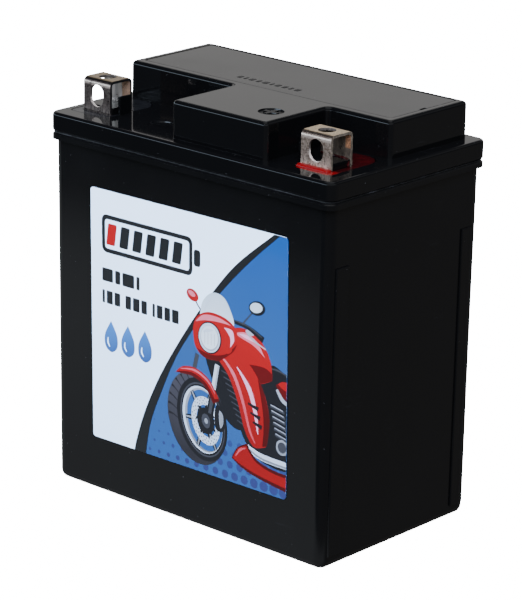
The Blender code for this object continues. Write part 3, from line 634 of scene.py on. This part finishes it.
def felt(name):
    """Matted glass fibres that run two ways."""
    s = Shade(name)
    fibres = s.noise(1.0, 4.0, 0.7, 1.2, where=s.turned((900, 900, 2600), (20, 10, 30)))
    cross = s.noise(1.0, 4.0, 0.7, 1.0, where=s.turned((2400, 1000, 800), (-30, 15, 0)))
    lint = s.sum(fibres, cross)
    colour = s.blend(s.band(lint, 0.8, 1.2), (0.62, 0.61, 0.58), (0.86, 0.86, 0.84))
    return s.finish(colour, 0.95, s.bump(lint, 0.3 * MM, 0.9), Sheen_Weight=0.25)


def rubber(name):
    """Black rubber with a grey bloom."""
    s = Shade(name)
    bloom = s.noise(700.0, 3.0, 0.6)
    colour = s.blend(s.band(bloom, 0.45, 0.75), (0.012, 0.012, 0.013), (0.045, 0.044, 0.043))
    return s.finish(colour, s.band(bloom, 0.3, 0.7, 0.55, 0.75, "LINEAR"),
                    s.bump(s.noise(2600.0, 2.0), 0.03 * MM, 0.8))


# Materials of the pieces inside, by how their nodes' names start
HIDDEN = {
    "negative_plate": lead_like(
        "grey_lead_paste", (0.2, 0.21, 0.22), (0.1, 0.105, 0.11), 0.6, 0.8, 0.3),
    "positive_plate": lead_like(
        "brown_lead_paste", (0.13, 0.062, 0.036), (0.06, 0.028, 0.018), 0.65, 0.85, 0.0),
    "separator": felt("glass_felt"),
    "intercell": lead_like("cast_lead", (0.42, 0.43, 0.46), (0.22, 0.225, 0.24), 0.35, 0.55, 0.8),
    "valve_cap": rubber("valve_rubber"),
}
HIDDEN["negative_post"] = HIDDEN["positive_post"] = HIDDEN["intercell"]


# -------- carried-over and finer pieces

for node, shape in NODES.items():
    for start, material in HIDDEN.items():
        if node.startswith(start) and not node.endswith(("terminal", "seal")):
            shape.data.materials.clear()
            shape.data.materials.append(material)


HOLE_HALF_WIDTH = 3.4 * MM
HOLE_HALF_DEPTH = 3.1 * MM
SIGN_AREA = 40 * MM ** 2


def strip_face(face):
    """The strip's sheared sides get the cut-edge material, and the walls of its holes another."""
    spot, normal = face.calc_center_median(), face.normal
    middle = (plus_low + plus_high if spot.x > 0 else minus_low + minus_high) / 2
    if abs(spot.x - middle.x) < HOLE_HALF_WIDTH:
        low_hole = spot.z < STRIP_TOP - 2.0 * MM and abs(normal.y) < 0.3
        top_hole = (spot.z > STRIP_TOP - 1.2 * MM and abs(normal.z) < 0.15
                    and abs(spot.y - middle.y) < HOLE_HALF_DEPTH)
        if low_hole or top_hole:
            return 2
    return 1 if abs(normal.x) > 0.9 else 0


def sign_face(face):
    """The polarity sign on the raised box is duller than the lid round it."""
    sunk = 0.02 * MM < lid_high.z - face.calc_center_median().z < 1.0 * MM
    return 1 if sunk and face.normal.z > 0.9 and face.calc_area() < SIGN_AREA else 0


finer("case", "case_moulding", [case_plastic, case_edge], 0.18)
finer("lid", "lid_moulding", [lid_plastic, sign_plastic, lid_edge], 0.16,
      sign_face)
finer("vent_cover_plate", "vent_cover", [cover_plastic, cover_edge], 0.14)
finer("positive_terminal", "plus_terminal_strip", [plus_metal, plus_cut, plus_rim],
      0.12, strip_face, edge=False)
finer("negative_terminal", "minus_terminal_strip", [minus_metal, minus_cut, minus_rim],
      0.12, strip_face, edge=False)
finer("positive_terminal_seal", "plus_terminal_resin", [red_resin], 0.08,
      edge=False)
finer("negative_terminal_seal", "minus_terminal_resin", [black_resin], 0.08,
      edge=False)


# -------- the printed label

def ink(name, tone, other=None, low=None, high=None, grain=0.06):
    """Printing ink under a clear film: fine screen grain, and a fade to another colour.

    The fade runs up the label between two heights in mm.
    """
    s = Shade(name)
    colour = tone
    if other:
        fade = s.band(s.axis("Z"), low * MM, high * MM, kind="LINEAR")
        cloud = s.times(s.centred(s.noise(45.0, 3.0, 0.6)), 0.9)
        colour = s.blend(s.put("ShaderNodeClamp", {0: s.sum(fade, cloud)}), tone, other)
    dots = s.noise(2600.0, 1.0)
    colour = s.blend(s.times(dots, grain), colour, (0.0, 0.0, 0.0))
    wide = s.noise(60.0, 2.0)
    return s.finish(colour, s.band(wide, 0.3, 0.7, 0.3, 0.38, "LINEAR"),
                    s.bump(s.noise(30.0, 1.0), 0.08 * MM, 0.35), IOR=1.48)


INKS = {
    "film": ink("label_film", (0.66, 0.87, 1.0), grain=0.02),
    "black": ink("ink_black", (0.006, 0.0066, 0.0068)),
    "sky": ink("ink_sky", (0.0145, 0.058, 0.162), (0.0045, 0.046, 0.168), 62.0, 96.0),
    "dots": ink("ink_dots", (0.018, 0.022, 0.08), (0.014, 0.034, 0.115), 18.0, 34.0),
    "red": ink("ink_red", (0.17, 0.0022, 0.003), (0.24, 0.0034, 0.0046), 30.0, 62.0),
    "dark_red": ink("ink_dark_red", (0.036, 0.0008, 0.0012), (0.07, 0.0014, 0.002), 30.0, 62.0),
    "pink": ink("ink_pink", (0.36, 0.04, 0.055), (0.46, 0.11, 0.145), 40.0, 66.0),
    "pale_pink": ink("ink_pale_pink", (0.56, 0.27, 0.36)),
    "tyre": ink("ink_tyre", (0.012, 0.012, 0.014), (0.033, 0.033, 0.039), 24.0, 50.0),
    "soot": ink("ink_soot", (0.0052, 0.0055, 0.0065)),
    "steel": ink("ink_steel", (0.1, 0.115, 0.125), (0.22, 0.245, 0.27), 26.0, 50.0),
    "silver": ink("ink_silver", (0.36, 0.43, 0.48)),
    "glass": ink("ink_glass", (0.5, 0.58, 0.6), (0.34, 0.43, 0.47), 60.0, 76.0),
    "slate": ink("ink_slate", (0.026, 0.028, 0.032)),
    "sign_blue": ink("ink_sign_blue", (0.018, 0.052, 0.165), (0.032, 0.135, 0.33), 46.0, 58.0),
    "sign_red": ink("ink_sign_red", (0.24, 0.003, 0.004)),
}

PRINT_INSET = 0.02
PRINT_LIFT = 0.012
label = Plane("front_label")
art = Print(label, PRINT_INSET)
U, V = label.width / 2, label.height / 2

# Fields: pale film, black sweep and blue sky.
left_edge = [(34.8, V), (19.3, 27.4), (6.4, 12.3), (-2.7, -0.3), (-11.0, -13.4),
             (-17.4, -26.1), (-21.3, -36.9), (-22.1, -V - 0.5)]
right_edge = [(37.1, V), (24.3, 28.8), (11.5, 15.3), (-2.7, -3.5), (-11.0, -19.8),
              (-15.3, -30.5), (-17.2, -V - 0.5)]
left_line = curve(left_edge, 10, closed=False)
right_line = curve(right_edge, 10, closed=False)
art.add("film", [(-U - 1, -V - 1), (U + 1, -V - 1), (U + 1, V + 1), (-U - 1, V + 1)])
art.add("black", left_line + right_line[::-1])
art.add("sky", right_line + [(U + 1, -V - 1), (U + 1, V + 1), (37.1, V + 1)])

# Halftone dots that grow towards the lower right.
DOT_STEP = 3.9
DOT_ROW = 3.35
for row in range(6):
    for column in range(16):
        u = -15.5 + DOT_STEP * (column + row % 2 / 2)
        v = -38.2 + DOT_ROW * row
        if v > -23.0 - 0.11 * (u + 16):
            continue
        size = 0.5 + 0.024 * (u + 16) - 0.1 * row
        if size > 0.25 and u < U - 0.4 and u - size > -16.3 + 0.25 * row:
            art.oval("dots", u, v, size, size, 0, 20)


def spoked_wheel(art, u, v, long, short, turn, wide):
    """A wheel seen half from the side: tread, sidewall, rim, spokes and a drilled disc."""
    art.oval("tyre", u, v, long, short + 0.6, turn)
    for k in range(15):
        t = 78 + 13 * k
        outer = on_oval(u, v, long - 0.3, short + 0.3, turn, t)
        inner = on_oval(u + wide, v, long - 2.4, short - 2.2, turn, t + 9)
        middle = ((outer[0] + inner[0]) / 2 - 0.5, (outer[1] + inner[1]) / 2 + 0.5)
        art.line("soot", [outer, middle, inner], 0.75, 0.4, 0.2)
    u += wide
    for colour, right, less_long, less_short in (
            ("soot", -0.2, 1.6, 1.3), ("slate", 0, 3, 2.5), ("soot", 0.1, 3.5, 2.9),
            ("silver", 0, 4.1, 3.4), ("steel", 0.5, 4.6, 3.9), ("sky", 0.9, 5.1, 4.4)):
        art.oval(colour, u + right, v, long - less_long, short - less_short, turn)
    hub = (u + 0.9, v + 0.2)
    for k in range(6):
        t = 20 + 60 * k
        end = on_oval(u + 0.5, v, long - 4.7, short - 4.0, turn, t)
        art.line("soot", [hub, end], 2.3, 1.3)
        art.line("steel", [hub, end], 0.9, 0.5)
    disc_u = u + 1.3
    outer = oval(disc_u, v, long - 7.0, short - 5.7, turn)
    inner = oval(disc_u + 0.1, v, long - 9.6, short - 7.7, turn)
    art.ring("silver", outer, inner)
    for ring, share in enumerate((0.2, 0.5, 0.8)):
        for k in range(22):
            t = 360 / 22 * (k + 0.5 * ring)
            p = on_oval(disc_u, v, long - 7.0 - 2.6 * share, short - 5.7 - 2.0 * share, turn, t)
            art.oval("slate", p[0], p[1], 0.26, 0.19, turn, 8)
    art.oval("soot", disc_u, v, long - 10.4, short - 7.9, turn, 36)
    for k in range(7):
        p = on_oval(disc_u, v, long - 9.2, short - 7.4, turn, 51.4 * k)
        art.line("soot", [(disc_u, v), p], 1.0, 0.7)
    art.oval("slate", disc_u + 0.1, v, 2.3, 1.7, turn, 28)
    art.oval("steel", disc_u + 0.2, v, 0.9, 0.7, turn, 16)


def draw_motorcycle(art):
    """A plain motorcycle with a round lamp, of no make, drawn from the front left."""
    # Engine, frame and exhaust, behind everything.
    art.patch("soot", [
        (21, -4), (28, -4), (36, -5), (42, -8, 0), (42, -31, 0), (36, -31.5), (27, -29),
        (21, -20)])
    for k in range(6):
        art.line("slate", [(33.6 + 0.4 * k, -12.2 - 1.7 * k), (39.2 + 0.3 * k, -13.2 - 1.7 * k)],
                 0.9)
        art.line("steel", [(33.8 + 0.4 * k, -11.9 - 1.7 * k), (38.6 + 0.3 * k, -12.8 - 1.7 * k)],
                 0.3)
    art.oval("steel", 38.4, -24.2, 2.4, 2.4, 0, 28)
    art.oval("slate", 38.4, -24.2, 1.7, 1.7, 0, 24)
    art.line("steel", [(36.2, -6.6), (38.6, -9.6), (41.8, -10.8)], 1, 1.3, 0.9)
    # Radiator and the far fork leg.
    art.patch("soot", [
        (7.6, -2), (14, -2.2), (19, -6.4), (22.6, -13), (24, -20.6), (20.6, -23), (15.4, -20),
        (11.4, -12)])
    for k in range(9):
        art.line("slate", [(14.2 + 0.8 * k, -6.0 - 1.75 * k), (18.4 + 0.62 * k, -6.9 - 1.75 * k)],
                 0.32)
    art.line("slate", [(4.4, -3), (2.6, -10), (1.2, -16)], 1.7, 1.6, 1.6)
    spoked_wheel(art, 4.2, -23.4, 14.6, 11.4, -74, 2.3)
    # Near fork leg, brake and mudguard.
    art.line("soot", [(13.4, -1.8), (11.6, -10.6), (9.4, -21.4)], 3, 2.8, 2.9)
    art.line("silver", [(12.5, -4.6), (10.9, -12.6)], 1.8, 1.8)
    art.line("steel", [(13, -4.8), (11.5, -12.4)], 0.5, 0.5)
    art.line("slate", [(10.8, -13.6), (9.4, -20.6)], 1.5, 1.2)
    art.patch("soot", [
        (12.2, -17.4), (15.2, -18.2), (16.2, -21.8), (14.6, -25.2), (12, -25), (11.4, -21)])
    art.patch("steel", [(13.4, -18.8), (14.8, -20), (14.9, -22.8), (13.8, -24.2), (13.2, -21.6)])
    art.patch("dark_red", [
        (-4.6, -10.8, 0), (-1.4, -8.2), (4.2, -7.8), (9.6, -10.4), (13.4, -15.8, 0),
        (10.8, -17.2, 0), (7.4, -12.6), (2.6, -10.6), (-1.6, -10.6)])
    art.patch("red", [
        (-4.6, -10.8, 0), (-1.4, -8.2), (4.2, -7.8), (9.6, -10.4), (13, -15.2, 0),
        (11.4, -15.6, 0), (7.8, -11.4), (2.8, -9.5), (-1.6, -9.8)])
    art.line("pink", [(-2.6, -9.2), (3.4, -8.5), (8.6, -10.6), (11.6, -14)], 0.2, 0.7, 0.7, 0.2)
    # Tail, seat and tank.
    art.patch("dark_red", [(35.6, -5.2, 0), (39, -3), (42, -2.4, 0), (42, -9.4, 0), (38.8, -8.8)])
    art.patch("red", [(36.4, -4.8, 0), (39.2, -2.9), (42, -2.4, 0), (42, -6.4, 0), (39, -6.2)])
    art.patch("soot", [
        (31.6, -0.6, 0), (35, 0.4), (39, -1), (42, -1.4, 0), (42, -3.6, 0), (38.4, -3.8),
        (34.6, -5.4)])
    art.line("slate", [(33.4, -0.8), (37, -0.8), (41.6, -2)], 0.3, 0.6, 0.3)
    art.patch("red", [
        (15.6, 4.4, 0), (19, 8.2), (24.4, 9), (30, 6.6), (33.6, 1.4), (34.4, -4.4, 0), (28, -6.8),
        (20.6, -4.2)])
    art.patch("dark_red", [
        (20.4, -2.6, 0), (26, -1.4), (31.6, -1.2), (34.5, -2.6, 0), (34.4, -4.4, 0), (28, -6.8),
        (22.4, -5)])
    art.patch("pink", [
        (19.4, 6.8, 0), (23.6, 8), (28.2, 6.2), (31.4, 2, 0), (27, 4.6), (22.6, 5.8)])
    art.patch("pale_pink", [(21, 7, 0), (24.4, 7.3), (27.8, 5.7, 0), (24, 6.2)])
    art.oval("steel", 25.4, 8.3, 1.7, 0.75, -8, 20)
    # Side fairing with one plain stripe and three slots, and the belly pan.
    art.patch("red", [
        (13.6, 3, 0), (20, 1.6), (26.6, -2.6), (31.2, -9), (33.4, -17), (32.4, -25.4, 0),
        (27.4, -26.8), (23.6, -22.4), (20.8, -14.4), (17.2, -7.2), (13, -3, 0)])
    art.patch("dark_red", [
        (28.6, -5, 0), (31.2, -9), (33.4, -17), (32.4, -25.4, 0), (30.6, -25.8, 0), (31, -17)])
    art.line("pink", [(14.4, -1.6), (19, -6), (22.6, -13.2), (25.4, -21.6), (27.8, -25.6)],
             0.5, 1.3, 1.1, 0.9, 0.3)
    art.line("pale_pink", [(20.4, -3.4), (25.2, -9), (27.8, -16), (28.8, -22.4)],
             0.3, 1.7, 1.5, 0.3)
    for k in range(3):
        art.line("soot", [(24.8 + k, -13.6 - 2.7 * k), (29 + 0.7 * k, -14.6 - 2.7 * k)],
                 0.6, 1.4)
    art.line("silver", [(24.6, -27.4), (30.6, -29.2), (42, -29.6)], 1.8, 2.2, 2.2)
    art.line("steel", [(25.4, -28), (31, -29.8), (42, -30.2)], 0.5, 0.7, 0.7)
    art.patch("dark_red", [
        (18.4, -32.4, 0), (20.6, -28.6), (24.6, -26.4, 0), (28, -30.2), (34, -32), (42, -32.4, 0),
        (42, -38, 0), (30, -36.4), (22.6, -34.6)])
    art.patch("red", [
        (18.8, -32.2, 0), (21, -28.8), (24.2, -27.2, 0), (27.6, -31), (34, -33), (42, -33.4, 0),
        (42, -36.8, 0), (30, -35.4), (22.8, -33.8)])
    art.line("pink", [(20, -31.4), (21.8, -29), (24, -28)], 0.3, 0.8, 0.3)
    # Bars, grips and mirrors.
    art.line("soot", [(9, 10.2), (17, 10.4), (24.6, 9.8), (30.8, 7.2)], 1.4, 1.2, 1.4, 2.1)
    art.line("slate", [(18, 10.8), (24.6, 10.2), (30.2, 7.9)], 0.3, 0.4, 0.4)
    art.line("steel", [(24.2, 7.9), (27.6, 6), (31.8, 4.6)], 0.4, 0.6, 0.4)
    art.line("slate", [(22.4, 10.2), (25.6, 13.8), (27.4, 15.6)], 0.6, 0.5, 0.5)
    art.oval("soot", 28.2, 16.4, 3.3, 2.2, 12, 32)
    art.oval("glass", 27.9, 16.5, 2.5, 1.55, 12, 28)
    art.line("slate", [(6.8, 10), (4.6, 12.2), (3.2, 14)], 0.6, 0.5, 0.5)
    art.oval("red", 2.4, 14.9, 2.5, 1.8, -20, 28)
    art.oval("pink", 2.1, 15.3, 1.5, 0.8, -20, 20)
    # Lamp cowl, screen and the round lamp.
    art.patch("glass", [
        (5.4, 9, 0), (6.6, 14), (10.6, 17.4), (15.4, 16.6), (18.8, 11.2), (19, 8.6, 0), (12, 10)])
    art.line("silver", [(7.2, 11), (9.4, 15), (13.4, 16.2)], 0.3, 1, 0.3)
    art.patch("red", [
        (2.6, 4.6, 0), (4, 8.4), (8.6, 11), (15, 10.8), (19.4, 8.6), (20.6, 4.8), (18.6, 0.6),
        (13.4, -3.2, 0), (7, -3.4), (3.4, -0.4)])
    art.patch("dark_red", [
        (4.2, -1.2, 0), (9.6, -2), (15.6, -0.6), (20.4, 3.6, 0), (18.6, 0.6), (13.4, -3.2, 0),
        (7, -3.4)])
    art.patch("pink", [(3.6, 7, 0), (7, 9.8), (13, 10.2), (18, 8.8, 0), (13, 8.8), (7.6, 8.2)])
    art.patch("pale_pink", [(15.2, 7.6, 0), (18.4, 7.4), (19.2, 4.4), (17.6, 2, 0), (17.6, 5)])
    art.oval("soot", 9.4, 3.1, 5.0, 4.7, 70, 40)
    art.oval("silver", 9.3, 3.1, 4.6, 4.3, 70, 40)
    art.oval("steel", 9.4, 3.0, 4.0, 3.7, 70, 36)
    art.oval("glass", 9.3, 3.2, 3.7, 3.4, 70, 36)
    art.patch("silver", [(6.7, 4.4), (8.4, 5.8), (10.8, 5.8), (9, 4.8)])
    for k in range(4):
        art.line("steel", [(7.4 + 1.3 * k, 0.9), (7.4 + 1.3 * k, 4.6)], 0.18)
    art.oval("sign_red", 17.2, 0.9, 1.5, 0.8, 40, 18)


draw_motorcycle(art)

# Generic marks in place of the maker's words: a charge gauge, plain bars and three drops.
LEFT = -35.4
art.ring("black", bar(LEFT, 20.6, 2.4, 32.6, 2.0), bar(LEFT + 1.4, 22.0, 1.0, 31.2, 1.0))
art.add("black", bar(2.9, 24.0, 5.6, 29.2, 0.9))
for k in range(6):
    u = LEFT + 1.8 + 5.5 * k
    art.add("black" if k else "sign_red", bar(u, 23.2, u + 3.7, 30.0, 0.5, lean=0.14))


def row_of_bars(sizes, low, high, radius, gap):
    """Upright bars of some widths from the left, where 0 stands for a wider gap."""
    u = LEFT
    for size in sizes:
        if size:
            art.add("black", bar(u, low, u + size, high, radius))
        u += size + gap if size else 2 * gap


row_of_bars((4.6, 2.2, 5.0, 1.4), 11.4, 15.6, 0.45, 0.9)
row_of_bars((1.1, 2.6, 2.4, 0, 2.4, 2.8, 2.4, 0, 1.1, 2.4, 2.4, 2.8), 4.4, 8.6, 0.35, 0.75)
for u in (LEFT + 3.6, LEFT + 10.8, LEFT + 18.0):
    art.patch("sign_blue", [
        (u, -0.9, 0), (u + 2.6, -5.4), (u + 2.5, -9.2), (u, -10.9), (u - 2.5, -9.2),
        (u - 2.6, -5.4)])
    art.line("film", [(u - 1.3, -6.4), (u - 1.4, -8.0), (u - 0.6, -9.3)], 0.3, 0.6, 0.3)


def printed_edge(face):
    """The label's right edge is cut through the blue, so it isn't pale like the others."""
    return 1 if face.normal.x > 0.4 else 0


finer("front_label", "label_film", [INKS["film"], INKS["sky"]], 0.02,
      printed_edge, edge=False, segments=1)
mesh, inks = art.mesh("label_print", INKS, PRINT_LIFT)
link("label_print", mesh, inks)


# -------- small added detail

PAD_ABOVE_SEAL = 2.1 * MM
RISE_POINTS = 30
RISE_STEP = 0.42


def outline(low, high, radius, z, steps=10, spacing=1.5 * MM):
    """Points round a rounded rectangle at one height, no further apart than a spacing."""
    corners = ((high.x, high.y, 0), (low.x, high.y, 90), (low.x, low.y, 180), (high.x, low.y, 270))
    line = []
    for x, y, start in corners:
        cx = x - math.copysign(radius, x - (low.x + high.x) / 2)
        cy = y - math.copysign(radius, y - (low.y + high.y) / 2)
        for k in range(steps + 1):
            t = math.radians(start + 90 * k / steps)
            line.append(Vector((cx + radius * math.cos(t), cy + radius * math.sin(t), z)))
    full = []
    for a, b in zip(line, line[1:] + line[:1]):
        pieces = max(1, round((b - a).length / spacing))
        full += [a.lerp(b, k / pieces) for k in range(pieces)]
    return full


def add_bead(name, material, path, radius, sides, closed, wobble, seed, wider=1.0):
    bead = to_mesh(swept(path, radius, sides, closed, wobble, seed, wider), name)
    link(name, bead, [material])


def weld_flash():
    """The uneven flash of the weld between case and lid, all round in the seam."""
    inset = Vector((0.62, 0.62, 0)) * MM
    z = (case_high.z + lid_low.z) / 2
    seam = outline(case_low + inset, case_high - inset, 2.7 * MM, z)
    plastic = glossy_plastic("weld_flash", (0.0045, 0.0047, 0.0047), 0.3, worn=0.9)
    add_bead("weld_flash", plastic, seam, 0.24 * MM, 8, True, 0.5, 4)


def resin_bead():
    """Resin along the plus strip's rear leg at the pad, which runs down the pad's right end."""
    pad, foot = seal_high.z + PAD_ABOVE_SEAL, seal_high.z + 0.05 * MM
    left, right = plus_low.x, plus_high.x
    line = curve([(left + 0.2 * MM, pad), (left + 4.0 * MM, pad), (left + 8.4 * MM, pad),
                  (right - 0.9 * MM, pad - 0.2 * MM), (right - 0.1 * MM, pad - 0.9 * MM),
                  (right + 0.3 * MM, foot)], 6, closed=False)
    inner = STRIP_REAR - 1.15 * MM
    path = [Vector((x, inner - max(0.0, pad - z) * 0.5, z)) for x, z in line]
    add_bead("plus_resin_bead", red_resin, path, 0.34 * MM, 10, False, 0.3, 9)


def resin_rise():
    """Resin that rises at the foot of the plus strip's front leg, lower at both ends."""
    path = []
    for k in range(RISE_POINTS):
        off = abs(2 * k / (RISE_POINTS - 1) - 1)
        path.append(Vector((
            plus_low.x + (RISE_STEP * k - 0.5) * MM, STRIP_FRONT - 0.5 * MM,
            seal_high.z - 0.1 * MM * off ** 4)))
    add_bead("plus_resin_rise", red_resin, path, 0.66 * MM, 16, False, 0.06, 5, 2.2)


weld_flash()
resin_bead()
resin_rise()

# The row of dashes near the cover plate's front edge, in mm
DASHES = (1.6, 0.9, 1.8, 1.3, 2.0, 0.8, 1.7, 1.5, 1.1, 1.9)
DASH_GAP = 1.15
ROW_START, ROW_LOW, ROW_HIGH = -15.3, 3.2, 5.6
DASH_HEIGHT = 0.07
DASH_CORNER = 0.3


def raised_marks(name):
    """Raised dashes with rounded edges, in place of the maker's code."""
    bm = bmesh.new()
    x = ROW_START
    z = cover_high.z + DASH_HEIGHT * MM
    for long in DASHES:
        low = Vector((x, ROW_LOW, 0)) * MM
        high = Vector((x + long, ROW_HIGH, 0)) * MM
        top = outline(low, high, DASH_CORNER * MM, z, 3, 1.0)
        centre = (low + high) / 2
        rings = []
        for grow, drop in ((1.0, 0.09), (0.94, 0.03), (0.82, 0.0)):
            rings.append([bm.verts.new(Vector((
                centre.x + (p.x - centre.x) * grow, centre.y + (p.y - centre.y) * grow,
                p.z - drop * MM))) for p in top])
        for a, b in zip(rings, rings[1:]):
            for i in range(len(a)):
                j = (i + 1) % len(a)
                bm.faces.new((a[i], a[j], b[j], b[i]))
        bm.faces.new(rings[-1])
        x += long + DASH_GAP
    return to_mesh(bm, name)


link("cover_marks", raised_marks("cover_marks"), [sign_plastic])


# -------- camera, lights and floor

# The photograph's view, and what the lamps look at
MIDDLE = Vector((0, 0, 0.065))
VIEW_AZIMUTH, VIEW_ELEVATION, VIEW_ROLL = 41.87, 17.94, math.radians(1.07)
VIEW_TARGET = Vector((-0.00053, 0.0, 0.06328))
VIEW_DISTANCE = 0.91716
LENS, SENSOR = 179.84, 36.0


def towards(azimuth, elevation):
    """The direction to a place, by its angle round from the front and its angle up."""
    a, e = math.radians(azimuth), math.radians(elevation)
    return Vector((math.sin(a) * math.cos(e), -math.cos(a) * math.cos(e), math.sin(e)))


def camera():
    """The camera at the photograph's angle, from the front right and a little above."""
    back = towards(VIEW_AZIMUTH, VIEW_ELEVATION)
    right = Vector((0, 0, 1)).cross(back).normalized()
    up = back.cross(right)
    rolled_right = right * math.cos(VIEW_ROLL) + up * math.sin(VIEW_ROLL)
    rolled_up = up * math.cos(VIEW_ROLL) - right * math.sin(VIEW_ROLL)
    data = bpy.data.cameras.new("camera")
    data.lens = LENS
    data.sensor_width = SENSOR
    data.clip_start, data.clip_end = 0.05, 50.0
    eye = bpy.data.objects.new("camera", data)
    bpy.context.scene.collection.objects.link(eye)
    turn = Matrix((rolled_right, rolled_up, back)).transposed().to_4x4()
    eye.matrix_world = Matrix.Translation(VIEW_TARGET + back * VIEW_DISTANCE) @ turn
    bpy.context.scene.camera = eye


def lamp(name, azimuth, elevation, distance, size, power):
    """A soft square lamp that looks at the object's middle and shows in no reflection."""
    back = towards(azimuth, elevation)
    data = bpy.data.lights.new(name, "AREA")
    data.shape = "SQUARE"
    data.size = size
    data.energy = power
    data.color = COOL
    light = bpy.data.objects.new(name, data)
    bpy.context.scene.collection.objects.link(light)
    light.location = MIDDLE + back * distance
    light.rotation_mode = "QUATERNION"
    light.rotation_quaternion = (-back).to_track_quat("-Z", "Y")
    light.visible_camera = False
    light.visible_glossy = False


def surroundings():
    """What the gloss mirrors: a bright band low on the front left, and greys all round."""
    s = Shade("studio", bpy.data.worlds.new("studio"))
    bpy.context.scene.world = s.material
    x, y, z = s.axis("X"), s.axis("Y"), s.axis("Z")
    rear = s.band(y, -0.1, 0.35)
    right = s.band(x, -0.15, 0.35)
    above = s.band(z, -0.03, 0.04)

    def strip(low, high, level, beyond):
        """One colour between two heights on the sky and another beyond, with soft borders."""
        return s.blend(s.window(z, low, low + 0.05, high, high + 0.1), beyond, level)

    front_left = strip(0.0, 0.12, (3.0, 3.7, 4.5), (0.012, 0.013, 0.015))
    front_right = strip(0.0, 0.5, (0.42, 0.44, 0.46), (0.05, 0.05, 0.05))
    rear_left = strip(-0.02, 0.52, (0.585, 0.575, 0.565), (0.05, 0.05, 0.05))
    rear_right = strip(0.24, 0.55, (0.15, 0.15, 0.15), (0.02, 0.02, 0.02))
    high = s.blend(rear, s.blend(right, front_left, front_right),
                   s.blend(right, rear_left, rear_right))
    high = s.blend(s.band(z, 0.8, 0.95), high, (0.55, 0.56, 0.57))
    low = s.blend(rear, s.blend(right, (0.045, 0.052, 0.06), (0.095, 0.096, 0.098)),
                  s.blend(right, (0.09, 0.09, 0.09), (0.118, 0.115, 0.112)))
    glow = s.put("ShaderNodeBackground", {"Color": s.blend(above, low, high)})
    s.put("ShaderNodeOutputWorld", {"Surface": glow})


def disc(name, radius, z, sides, material):
    bm = bmesh.new()
    bmesh.ops.create_circle(bm, cap_ends=True, radius=radius, segments=sides)
    mesh = to_mesh(bm, name)
    mesh.materials.append(material)
    made = bpy.data.objects.new(name, mesh)
    bpy.context.scene.collection.objects.link(made)
    made.location.z = z
    return made


def floor():
    """White paper that the camera sees, and a faint card of light that the gloss mirrors."""
    s = Shade("floor_paper")
    s.finish((0.9, 0.9, 0.9), 0.85, None, Emission_Color=(1.0, 1.0, 1.0), Emission_Strength=16.0)
    paper = disc("floor", 12.0, 0.0, 96, s.material)
    paper.visible_glossy = False
    paper.visible_diffuse = False
    # The card lies in front of the battery, and its other parts are clear.
    s = Shade("floor_sheen")
    x, y = s.axis("X"), s.axis("Y")
    level = s.band(x, -0.17, -0.06, 0.41, 0.33)
    ahead = s.band(y, -0.25, -0.222)
    beside = s.band(s.sum(x, s.times(y, -0.9)), 0.095, 0.115, 1.0, 0.0)
    near = s.band(y, -0.036, -0.03, 1.0, 0.0)
    glow = s.times(ahead, s.times(beside, near))
    light = s.put("ShaderNodeEmission", {"Color": (0.95, 1.0, 1.05), "Strength": level})
    clear = s.put("ShaderNodeBsdfTransparent", {"Color": (1.0, 1.0, 1.0)})
    mixed = s.put("ShaderNodeMixShader", {0: glow, 1: clear, 2: light})
    s.put("ShaderNodeOutputMaterial", {"Surface": mixed})
    card = disc("floor_sheen", 0.5, -0.4 * MM, 64, s.material)
    card.visible_camera = False
    card.visible_diffuse = False
    card.visible_transmission = False
    card.visible_shadow = False


camera()
surroundings()
floor()

# Azimuth and elevation in degrees, distance and size in metres, power in watts
COOL = (0.88, 0.96, 1.25)
lamp("key", 38, 44, 1.5, 1.0, 111.0)
lamp("left_fill", -58, 30, 1.6, 1.1, 41.0)
lamp("rear_fill", 200, 40, 1.6, 1.2, 55.0)
lamp("top_fill", 0, 88, 1.5, 1.2, 26.0)
